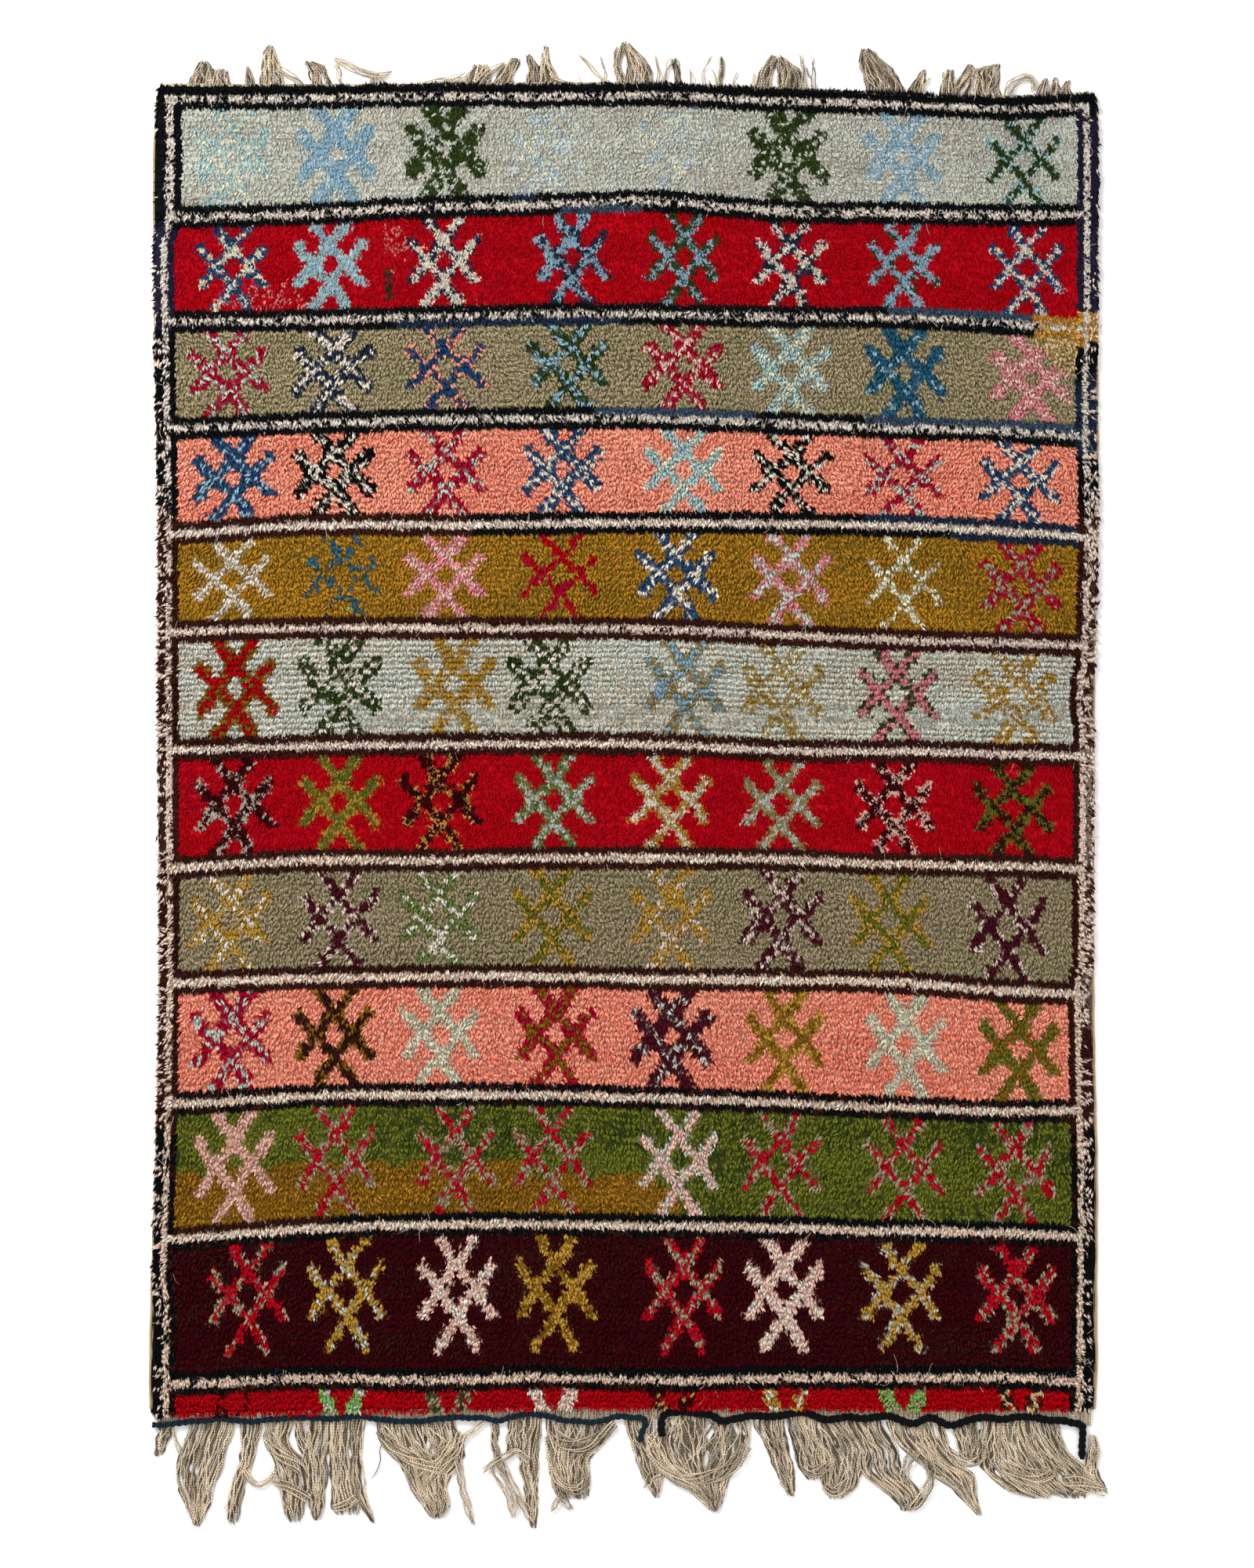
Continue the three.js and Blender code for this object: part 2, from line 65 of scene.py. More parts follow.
# ------------------------------------------ yarns and colour
class Yarn(Enum):
    """Dyed yarns of the pile, as sRGB hex values of the tuft as the eye sees it."""

    BLACK = "#0c0e10"
    SLATE = "#34465a"
    NAVY = "#1d2a3f"
    PURPLE_NAVY = "#1e1c30"
    BROWN_BLACK = "#341711"
    CREAM = "#d8c2b2"
    IVORY = "#e3d8c6"
    ASH_CREAM = "#cfc3b6"
    WARM_CREAM = "#dec2ac"
    GREY_BLUE = "#c3c5b8"
    GREY = "#b7af9f"
    SAND_GREY = "#c6b69d"
    RED = "#b6010f"
    SCARLET = "#b00412"
    CRIMSON = "#b4041c"
    TAUPE = "#a08e71"
    SAGE = "#918862"
    SALMON = "#ef977e"
    CORAL = "#e57b64"
    MUSTARD = "#a77520"
    OLIVE_BROWN = "#846620"
    BRONZE = "#855d17"
    OCHRE = "#b78c35"
    ORANGE = "#c9964a"
    AMBER = "#b07a2a"
    GOLD = "#ab8c45"
    OLIVE = "#676c23"
    DARK_GREEN = "#303f19"
    GREEN = "#69793c"
    LIME = "#79b255"
    MAROON = "#39050b"
    WINE = "#4a121e"
    ROYAL = "#1f4169"
    TEAL = "#265a74"
    SKY = "#8fb0c0"
    AQUA = "#a4c3c4"
    PALE_BLUE = "#bccbcd"
    ROSE = "#db848a"
    PALE_PINK = "#e6b8a8"
    TAN = "#cbab7c"
    CAMEL = "#9a8452"
    WORN_PINK = "#c98a86"
    WARP = "#d8c5aa"
    COCOA = "#4a2c22"
    SELVEDGE = "#b59a74"
    BLUSH = "#d9a28d"
    PALE_YELLOW = "#dcdabe"
    CORD_NAVY = "#182936"
    RASPBERRY = "#a8062a"


YARNS: list[Yarn] = list(Yarn)
INDEX: dict[Yarn, int] = {yarn: i for i, yarn in enumerate(YARNS)}


def linear(value: str) -> tuple[float, float, float]:
    """Turns an sRGB hex value into linear colour.

    Args:
        value: The colour as "#rrggbb".

    Returns:
        Red, green and blue as linear numbers from 0 to 1.
    """
    parts = [int(value[i : i + 2], 16) / 255 for i in (1, 3, 5)]
    r, g, b = (p / 12.92 if p <= 0.04045 else ((p + 0.055) / 1.055) ** 2.4 for p in parts)
    return r, g, b


PALETTE: Array = np.array([linear(yarn.value) for yarn in YARNS])


# -------------------------------------------- number helpers
def smooth_through(at: Array, places: Sequence[float], values: Sequence[float]) -> Array:
    """Reads a smooth curve: cubic on each stretch, with its neighbours' mean slopes, level past the ends.

    Args:
        at: Where to read it.
        places: Increasing places at which values are given.
        values: The value at each place.

    Returns:
        The curve's value at each point of at.
    """
    p = np.asarray(places, float)
    v = np.asarray(values, float)
    slope = np.gradient(v, p)
    at = np.clip(at, p[0], p[-1])
    i = np.clip(np.searchsorted(p, at) - 1, 0, len(p) - 2)
    span = p[i + 1] - p[i]
    t = (at - p[i]) / span
    rise = t * t * (3 - 2 * t)
    bend = t * (1 - t) ** 2 * slope[i] - t * t * (1 - t) * slope[i + 1]
    return v[i] + (v[i + 1] - v[i]) * rise + span * bend


def soft_noise(x: Array, y: Array, size: float, seed: int) -> Array:
    """Smooth noise: random numbers on a square lattice, blended with an S-curve between its corners.

    Args:
        x: First coordinate.
        y: Second coordinate.
        size: Lattice spacing, in the same unit.
        seed: Names the pattern.

    Returns:
        Numbers from -1 to 1, one for each point.
    """
    table = np.random.default_rng(seed).uniform(-1, 1, (64, 64))
    gx, gy = np.asarray(x) / size + 4096.0, np.asarray(y) / size + 4096.0
    ix, iy = np.floor(gx).astype(int), np.floor(gy).astype(int)
    fx, fy = gx - ix, gy - iy
    fx, fy = fx * fx * (3 - 2 * fx), fy * fy * (3 - 2 * fy)
    a, b = table[ix % 64, iy % 64], table[(ix + 1) % 64, iy % 64]
    c, d = table[ix % 64, (iy + 1) % 64], table[(ix + 1) % 64, (iy + 1) % 64]
    return (a * (1 - fx) + b * fx) * (1 - fy) + (c * (1 - fx) + d * fx) * fy


def unit(v: Array) -> Array:
    """Scales each row of v to length 1."""
    return v / np.maximum(np.linalg.norm(v, axis=-1, keepdims=True), 1e-9)


# ---------------------------------------------- mesh helpers
@dataclass
class Shape:
    """A mesh being gathered as whole arrays: points in mm, faces of three or four corners, colours, maps."""

    points: Array
    quads: Array
    tris: Array
    colour: Array | None = None  # at the points
    corner_colours: dict[str, Array] = field(default_factory=dict)
    maps: dict[str, Array] = field(default_factory=dict)  # UV maps, at the corners

    def loops(self) -> Array:
        """All corners in face order, quads first."""
        return np.concatenate([self.quads.reshape(-1), self.tris.reshape(-1)]).astype(np.int32)


def put_uv(mesh: bpy.types.Mesh, name: str, uv: Array) -> None:
    """Adds one UV map, given per corner."""
    layer = mesh.uv_layers.new(name=name)
    layer.uv.foreach_set("vector", uv.astype(np.float32).reshape(-1))


def put_colour(mesh: bpy.types.Mesh, name: str, domain: str, rgb: Array) -> None:
    """Adds linear colours to a mesh as an attribute."""
    layer = mesh.color_attributes.new(name=name, type="FLOAT_COLOR", domain=domain)
    rgba = np.concatenate([rgb, np.ones((len(rgb), 1))], axis=1)
    layer.data.foreach_set("color", rgba.astype(np.float32).reshape(-1))


def make_piece(name: str, shape: Shape, material: Material) -> Piece:
    """Puts a gathered shape into the scene as one object at the origin that rides on the part's only body.

    Args:
        name: The piece's name.
        shape: Points, faces, colours and maps.
        material: Its finish.

    Returns:
        The new object.
    """
    mesh = bpy.data.meshes.new(name)
    loops = shape.loops()
    sizes = np.concatenate([np.full(len(shape.quads), 4), np.full(len(shape.tris), 3)])
    starts = np.concatenate([[0], np.cumsum(sizes)[:-1]]).astype(np.int32)
    mesh.vertices.add(len(shape.points))
    mesh.vertices.foreach_set("co", (shape.points * MM).astype(np.float32).reshape(-1))
    mesh.loops.add(len(loops))
    mesh.loops.foreach_set("vertex_index", loops)
    mesh.polygons.add(len(starts))
    mesh.polygons.foreach_set("loop_start", starts)
    mesh.update(calc_edges=True)
    mesh.validate()
    mesh.shade_smooth()
    if shape.colour is not None:
        put_colour(mesh, "yarn", "POINT", shape.colour)
    for title, colour in shape.corner_colours.items():
        put_colour(mesh, title, "CORNER", colour)
    for title, uv in shape.maps.items():
        put_uv(mesh, title, uv)
    piece = bpy.data.objects.new(name, mesh)
    SCENE.collection.objects.link(piece)
    piece.data.materials.append(material)
    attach(piece, BODY)
    LOG.info("%s: %d points, %d faces", name, len(mesh.vertices), len(mesh.polygons))
    return piece


def rectangles(u0: Array, u1: Array, v0: Array, v1: Array) -> Array:
    """Corner map (..., 4, 2) of rectangles, in the order u0 v0, u1 v0, u1 v1, u0 v1."""
    return np.stack([np.stack([u0, u1, u1, u0], axis=-1), np.stack([v0, v0, v1, v1], axis=-1)], axis=-1)


def by_column(table: Table) -> tuple[Array, ...]:
    """Turns a table of rows into one array for each column."""
    return tuple(np.array(column, float) for column in zip(*table, strict=True))


def cell_map(pieces: int, corners: Array) -> Array:
    """Gives each of many small repeats its own square cell of the unit square, row by row.

    Args:
        pieces: How many repeats there are.
        corners: One repeat's corners (k, 2) in its own unit square.

    Returns:
        Corners of all repeats, (pieces, k, 2).
    """
    side = math.ceil(math.sqrt(pieces))
    index = np.arange(pieces)
    cell = np.stack([index % side, index // side], axis=1)[:, None, :]
    margin = 0.1
    return (cell + margin + (1 - 2 * margin) * corners[None]) / side


def path_length(*parts: Array) -> Array:
    """Distance along paths up to each of their points, from each coordinate's values along the last axis."""
    steps = np.sqrt(sum(np.diff(part, axis=-1) ** 2 for part in parts))
    return np.concatenate([np.zeros(steps.shape[:-1] + (1,)), np.cumsum(steps, axis=-1)], axis=-1)


def tubes(paths: Array, radius: Array, sides: int, turn: Array | float = 0.0) -> Shape:
    """Carries a ring of a few sides along many paths at once and closes both ends with a point.

    A ring's point at angle a is the path's point plus radius * (cos a * across + sin a * up). Across is the
    level direction square to the path, and up is square to both.

    Args:
        paths: Path points (n, k, 3).
        radius: Radius at each path point (n, k).
        sides: Sides of the ring.
        turn: Angle by which rings are turned, (n, k) or one number.

    Returns:
        One shape with all tubes, with a Lay map: turns around, and metres along.
    """
    n, k, _ = paths.shape
    along = unit(np.gradient(paths, axis=1))
    across = np.cross(along, UP)
    steep = np.linalg.norm(across, axis=2, keepdims=True) < 1e-3
    across = unit(np.where(steep, np.array([1.0, 0.0, 0.0]), across))
    up = np.cross(across, along)
    angle = 2 * math.pi * np.arange(sides) / sides
    angle = angle[None, None, :] + np.broadcast_to(np.asarray(turn, float), (n, k))[:, :, None]
    ring = paths[:, :, None, :] + radius[:, :, None, None] * (
        np.cos(angle)[..., None] * across[:, :, None, :] + np.sin(angle)[..., None] * up[:, :, None, :]
    )
    first = paths[:, 0] - along[:, 0] * radius[:, :1] * 0.6
    last = paths[:, -1] + along[:, -1] * radius[:, -1:]
    per = k * sides + 2
    ends = np.stack([first, last], axis=1)
    points = np.concatenate([ring.reshape(n, k * sides, 3), ends], axis=1).reshape(-1, 3)
    base = (np.arange(n) * per)[:, None, None]
    row, side = (a.reshape(-1) for a in np.meshgrid(np.arange(k - 1), np.arange(sides), indexing="ij"))
    a, b = row * sides + side, row * sides + (side + 1) % sides
    quads = (np.stack([a, b, b + sides, a + sides], axis=1)[None] + base).reshape(-1, 4)
    s = np.arange(sides)
    t = (s + 1) % sides
    near_cap = np.stack([np.full(sides, k * sides), t, s], axis=1)
    far_cap = np.stack([np.full(sides, k * sides + 1), (k - 1) * sides + s, (k - 1) * sides + t], axis=1)
    tris = (np.concatenate([near_cap, far_cap])[None] + base).reshape(-1, 3)
    length = path_length(*np.moveaxis(paths, 2, 0))
    bake, lay = bake_of_tubes(n, k, sides, row, side), lay_of_tubes(length * MM, row, side, sides)
    return Shape(points, quads, tris, maps={"OFBake": bake, "Lay": lay})


def lay_of_tubes(length: Array, row: Array, side: Array, sides: int) -> Array:
    """Corner map of tubes: u is the share of a turn around, v is the length along in metres."""
    n = length.shape[0]
    u = np.broadcast_to(side, (n, len(side)))
    quads = rectangles(u / sides, (u + 1) / sides, length[:, row], length[:, row + 1]).reshape(-1, 2)
    ends = np.repeat(length[:, [0, -1]], sides, axis=1)
    cap_v = np.broadcast_to(ends[:, :, None], ends.shape + (3,))
    cap_u = np.broadcast_to(np.array([0.5, 1.0, 0.0]), cap_v.shape)
    return np.concatenate([quads, np.stack([cap_u, cap_v], axis=3).reshape(-1, 2)])


def bake_of_tubes(n: int, k: int, sides: int, row: Array, side: Array) -> Array:
    """Corner map of tubes for the colour bake: each skin unrolled in a cell of its own, with its caps below
    and above."""
    low, high = 0.12, 0.88  # the skin's reach in the cell
    v0 = low + (high - low) * row / (k - 1)
    v1 = low + (high - low) * (row + 1) / (k - 1)
    skin = rectangles(side / sides, (side + 1) / sides, v0, v1).reshape(-1, 2)
    s = np.arange(sides)
    middle, left, right = (s + 0.5) / sides, s / sides, (s + 1) / sides
    under = np.stack([0.0 * s, 0.0 * s + low * 0.9, 0.0 * s + low * 0.9], axis=1)
    over = np.stack([0.0 * s + 1.0, 0.0 * s + high + 0.01, 0.0 * s + high + 0.01], axis=1)
    first = np.stack([np.stack([middle, right, left], axis=1), under], axis=2).reshape(-1, 2)
    last = np.stack([np.stack([middle, left, right], axis=1), over], axis=2).reshape(-1, 2)
    cells = cell_map(n, np.concatenate([skin, first, last]))
    return np.concatenate([cells[:, : len(skin)].reshape(-1, 2), cells[:, len(skin) :].reshape(-1, 2)])


# ------------------------------------------------- materials
def node(
    tree: bpy.types.NodeTree, kind: str, settings: Settings | None = None, links: Settings | None = None
) -> bpy.types.Node:
    """Adds one shader node.

    Args:
        tree: The material's node tree.
        kind: The node's type, without the "ShaderNode" that all of them start with.
        settings: Values by property name, or by input socket name or number.
        links: By input socket name or number, an output socket or a node that gives its first one.

    Returns:
        The new node.
    """
    made = tree.nodes.new("ShaderNode" + kind)
    for name, value in (settings or {}).items():
        if hasattr(made, name):
            setattr(made, name, value)
        else:
            made.inputs[int(name) if name.isdigit() else name].default_value = value
    for name, source in (links or {}).items():
        socket = source.outputs[0] if isinstance(source, bpy.types.Node) else source
        tree.links.new(socket, made.inputs[int(name) if name.isdigit() else name])
    return made


def new_material(name: str) -> tuple[Material, Callable[..., bpy.types.Node]]:
    """Makes an empty node material and returns it with the function that adds nodes to it."""
    material = bpy.data.materials.new(name)
    material.use_nodes = True
    material.node_tree.nodes.clear()
    return material, partial(node, material.node_tree)


def span(start: Pair, end: Pair) -> Settings:
    """Settings that carry one range of numbers onto another."""
    return {"From Min": start[0], "From Max": start[1], "To Min": end[0], "To Max": end[1]}


NOISE_RANGE = (0.3, 0.7)  # where nearly all of a noise texture's values lie


@dataclass(frozen=True)
class WoolPile:
    """Cut wool pile, spun and hand knotted, dyed in the yarn.

    The eye gets a matt, slightly woolly surface: each tuft has its own tone, with painted light at its cut
    tip and painted shade at its root in the yarn attribute, fibres too fine to count, and a soft sheen where
    light grazes it.
    Light scatters from fibre to fibre, so the shading is drawn some way towards that of a level cloth: the
    normal gets an upward arrow added.
    """

    fibre_mm: float = 1.8  # real fibres are 0.03 mm: drawn as coarse as they need to show
    fibre_tone: Pair = (0.78, 1.22)
    shade_mm: float = 5.0  # patches of lighter and darker yarn
    shade_tone: Pair = (0.9, 1.1)
    stretch: tuple[float, float, float] = (1.0, 0.45, 0.6)  # draws the fibres out along their lie
    bump_mm: float = 0.5
    even: float = 2.0  # length of the upward arrow

    def build(self) -> Material:
        """Makes the material, which reads each tuft's colour from the yarn attribute."""
        material, add = new_material("wool_pile")
        place = add("TexCoord").outputs["Object"]
        colour = add("Attribute", {"attribute_name": "yarn"})
        along = add("Mapping", {"Scale": self.stretch}, {"Vector": place})
        grain = {"Scale": 1 / (self.fibre_mm * MM), "Detail": 3.0, "Roughness": 0.6}
        fibre = add("TexNoise", grain, {"Vector": along})
        patches = {"Scale": 1 / (self.shade_mm * MM), "Detail": 1.0}
        shade = add("TexNoise", patches, {"Vector": place})
        fine = add("MapRange", span(NOISE_RANGE, self.fibre_tone), {"Value": fibre})
        broad = add("MapRange", span(NOISE_RANGE, self.shade_tone), {"Value": shade})
        both = add("Math", {"operation": "MULTIPLY"}, {"0": fine, "1": broad})
        tone = add("VectorMath", {"operation": "SCALE"}, {"Vector": colour, "Scale": both})
        face = add("NewGeometry").outputs["Normal"]
        level = add("VectorMath", {"operation": "ADD", "1": (0.0, 0.0, self.even)}, {"0": face})
        soft = add("VectorMath", {"operation": "NORMALIZE"}, {"0": level})
        relief = {"Strength": 0.6, "Distance": self.bump_mm * MM}
        bump = add("Bump", relief, {"Height": fibre, "Normal": soft})
        matt = {"Roughness": 0.9, "Specular IOR Level": 0.03, "Sheen Weight": 0.015, "Sheen Roughness": 0.4}
        shader = add("BsdfPrincipled", matt, {"Base Color": tone, "Normal": bump})
        add("OutputMaterial", links={"Surface": shader})
        return material


@dataclass(frozen=True)
class SpunYarn:
    """Undyed or dyed yarn of two plies, hand spun and twisted.

    The eye gets slanting plies with painted shade in the creases between them and a dull, slightly hairy
    surface. The plies are a sine of twice the turn around the yarn plus the length along it in crossings.
    """

    name: str
    ply_mm: float = 4.6  # along the yarn, one crossing of a ply
    crease: float = 0.4  # how dark the painted shade in the crease between plies is
    fibre_mm: float = 0.8
    fibre_tone: Pair = (0.8, 1.15)
    bump_mm: float = 0.5

    def build(self) -> Material:
        """Makes the material: each yarn's colour from the yarn attribute, its lay from the Lay map."""
        material, add = new_material(self.name)
        lay = add("UVMap", {"uv_map": "Lay"})
        colour = add("Attribute", {"attribute_name": "yarn"})
        place = add("TexCoord").outputs["Object"]
        around, length, _ = add("SeparateXYZ", links={"Vector": lay}).outputs
        turns = add("Math", {"operation": "MULTIPLY", "1": 4 * math.pi}, {"0": around})
        per_metre = 2 * math.pi / (self.ply_mm * MM)
        steps = add("Math", {"operation": "MULTIPLY", "1": per_metre}, {"0": length})
        phase = add("Math", {"operation": "ADD"}, {"0": turns, "1": steps})
        wave = add("Math", {"operation": "SINE"}, {"0": phase})
        # Painted shade in the creases between plies.
        ply = add("MapRange", span((-1.0, 0.2), (self.crease, 1.0)), {"Value": wave})
        grain = {"Scale": 1 / (self.fibre_mm * MM), "Detail": 3.0}
        fibre = add("TexNoise", grain, {"Vector": place})
        fine = add("MapRange", span(NOISE_RANGE, self.fibre_tone), {"Value": fibre})
        both = add("Math", {"operation": "MULTIPLY"}, {"0": ply, "1": fine})
        tone = add("VectorMath", {"operation": "SCALE"}, {"Vector": colour, "Scale": both})
        bump = add("Bump", {"Strength": 0.7, "Distance": self.bump_mm * MM}, {"Height": both})
        dull = {"Roughness": 0.9, "Specular IOR Level": 0.06, "Sheen Weight": 0.03}
        shader = add("BsdfPrincipled", dull, {"Base Color": tone, "Normal": bump})
        add("OutputMaterial", links={"Surface": shader})
        return material


@dataclass(frozen=True)
class KnotGround:
    """Lower pile, seen between the tufts, and the knots on the back: wool that strays over its neighbours.

    The eye gets each knot's own colour with a ragged, hairy rim, and painted shade in the chinks between the
    fibres, which a bump from the same noise deepens. The rim is ragged because the place within a knot's
    cell is shifted by noise, and where that leaves the cell the colour of the neighbour on that side is
    taken.
    """

    hair_mm: Pair = (2.6, 7.5)  # across and along the lie of the pile
    slant: float = 9.0  # degrees that the hairs lie off the warp
    stray: float = 2.6  # how far hairs stray over the rim, in knots, as noise strength
    chink_at: Pair = (0.36, 0.56)  # noise values of a chink's floor and of its rim
    # Painted shade on a chink's floor, and a little painted light on its rim.
    chink_shade: Pair = (0.55, 1.1)
    bump_mm: float = 1.2

    def build(self) -> Material:
        """Makes the material: the knot's and its neighbours' colours, and the place within the knot."""
        material, add = new_material("knot_ground")
        place = add("TexCoord").outputs["Object"]
        thin, long = self.hair_mm
        lie = {"Scale": (1.0, thin / long, 1.0), "Rotation": (0.0, 0.0, math.radians(self.slant))}
        hair = add("Mapping", lie, {"Vector": place})
        grain = {"Scale": 1 / (thin * MM), "Detail": 1.5}
        noise = add("TexNoise", grain, {"Vector": hair})
        parts = add("SeparateColor", links={"Color": noise.outputs["Color"]}).outputs
        cell = add("UVMap", {"uv_map": "Knot"})
        inside = add("SeparateXYZ", links={"Vector": cell}).outputs
        moved = []
        for axis in (0, 1):
            swing = {"operation": "MULTIPLY_ADD", "1": self.stray, "2": -self.stray / 2}
            shift = add("Math", swing, {"0": parts[axis]})
            moved.append(add("Math", {"operation": "ADD"}, {"0": inside[axis], "1": shift}))
        colour = add("Attribute", {"attribute_name": "yarn"})
        for axis, test, limit, name in (
            (0, "LESS_THAN", 0.0, "yarn_left"),
            (0, "GREATER_THAN", 1.0, "yarn_right"),
            (1, "LESS_THAN", 0.0, "yarn_near"),
            (1, "GREATER_THAN", 1.0, "yarn_far"),
        ):
            past = add("Math", {"operation": test, "1": limit}, {"0": moved[axis]})
            beside = add("Attribute", {"attribute_name": name})
            colour = add("MixRGB", links={"Fac": past, "Color1": colour, "Color2": beside})
        # Painted shade in the chinks between the fibres.
        chinks = add("MapRange", span(self.chink_at, self.chink_shade), {"Value": parts[2]})
        tone = add("VectorMath", {"operation": "SCALE"}, {"Vector": colour, "Scale": chinks})
        relief = {"Strength": 0.8, "Distance": self.bump_mm * MM}
        bump = add("Bump", relief, {"Height": parts[2]})
        matt = {"Roughness": 0.92, "Specular IOR Level": 0.08}
        shader = add("BsdfPrincipled", matt, {"Base Color": tone, "Normal": bump})
        add("OutputMaterial", links={"Surface": shader})
        return material


# ------------------------------------------ the cloth's plan
class Row(IntEnum):
    """What a row of knots belongs to."""

    EDGE = 0
    DARK_ABOVE = 1
    CREAM = 2
    DARK_BELOW = 3
    FIELD = 4


class Column(IntEnum):
    """What a column of knots belongs to."""

    OUTER = 0
    CREAM = 1
    INNER = 2
    FIELD = 3


class Place(IntEnum):
    """What part of the cloth a knot helps to make."""

    FIELD = 0
    LINE = 1
    SIDE = 2
    OUTER = 3


@dataclass(frozen=True)
class Star:
    """One star: its middle across and its two yarns.

    The second yarn dots the middles of the strokes, or their edges where the star is edged.
    """

    x: float
    main: Yarn
    second: Yarn
    share: float = 0.45  # how much of the second yarn
    weight: float = 1.0  # breadth of its strokes, as a share of the chart's
    edged: bool = False
    fill: float = 1.0  # share of its knots that were tied


@dataclass(frozen=True)
class Band:
    """One band: its ground yarns, how much of the second, its rows of knots and its eight stars."""

    name: str
    ground: Yarn
    flecks: Yarn
    share: float
    stars: tuple[Star, ...]
    rows: int = 16
    lean: float = 50.0  # degrees that its pile leans over
    depth: float = 0.5  # painted shade at the roots of its tufts and on the ground between them, and painted light at their tips, from 0 to 1
    ground_z: float = 8.0  # height of the ground between its tufts
    spread: float = 1.0  # width of its stars
    tone: float = 1.0  # lightness of its ground
    star_tone: float = 1.0  # lightness of its stars
    rows_show: float = 0.1  # how clearly the rows stand apart, from 0 to 1: less stray, and painted shade in the row gaps


def stars(centres: Sequence[int], *yarns: tuple[Any, ...]) -> tuple[Star, ...]:
    """Pairs each star's middle with its yarns."""
    return tuple(Star(x, *pair) for x, pair in zip(centres, yarns, strict=True))


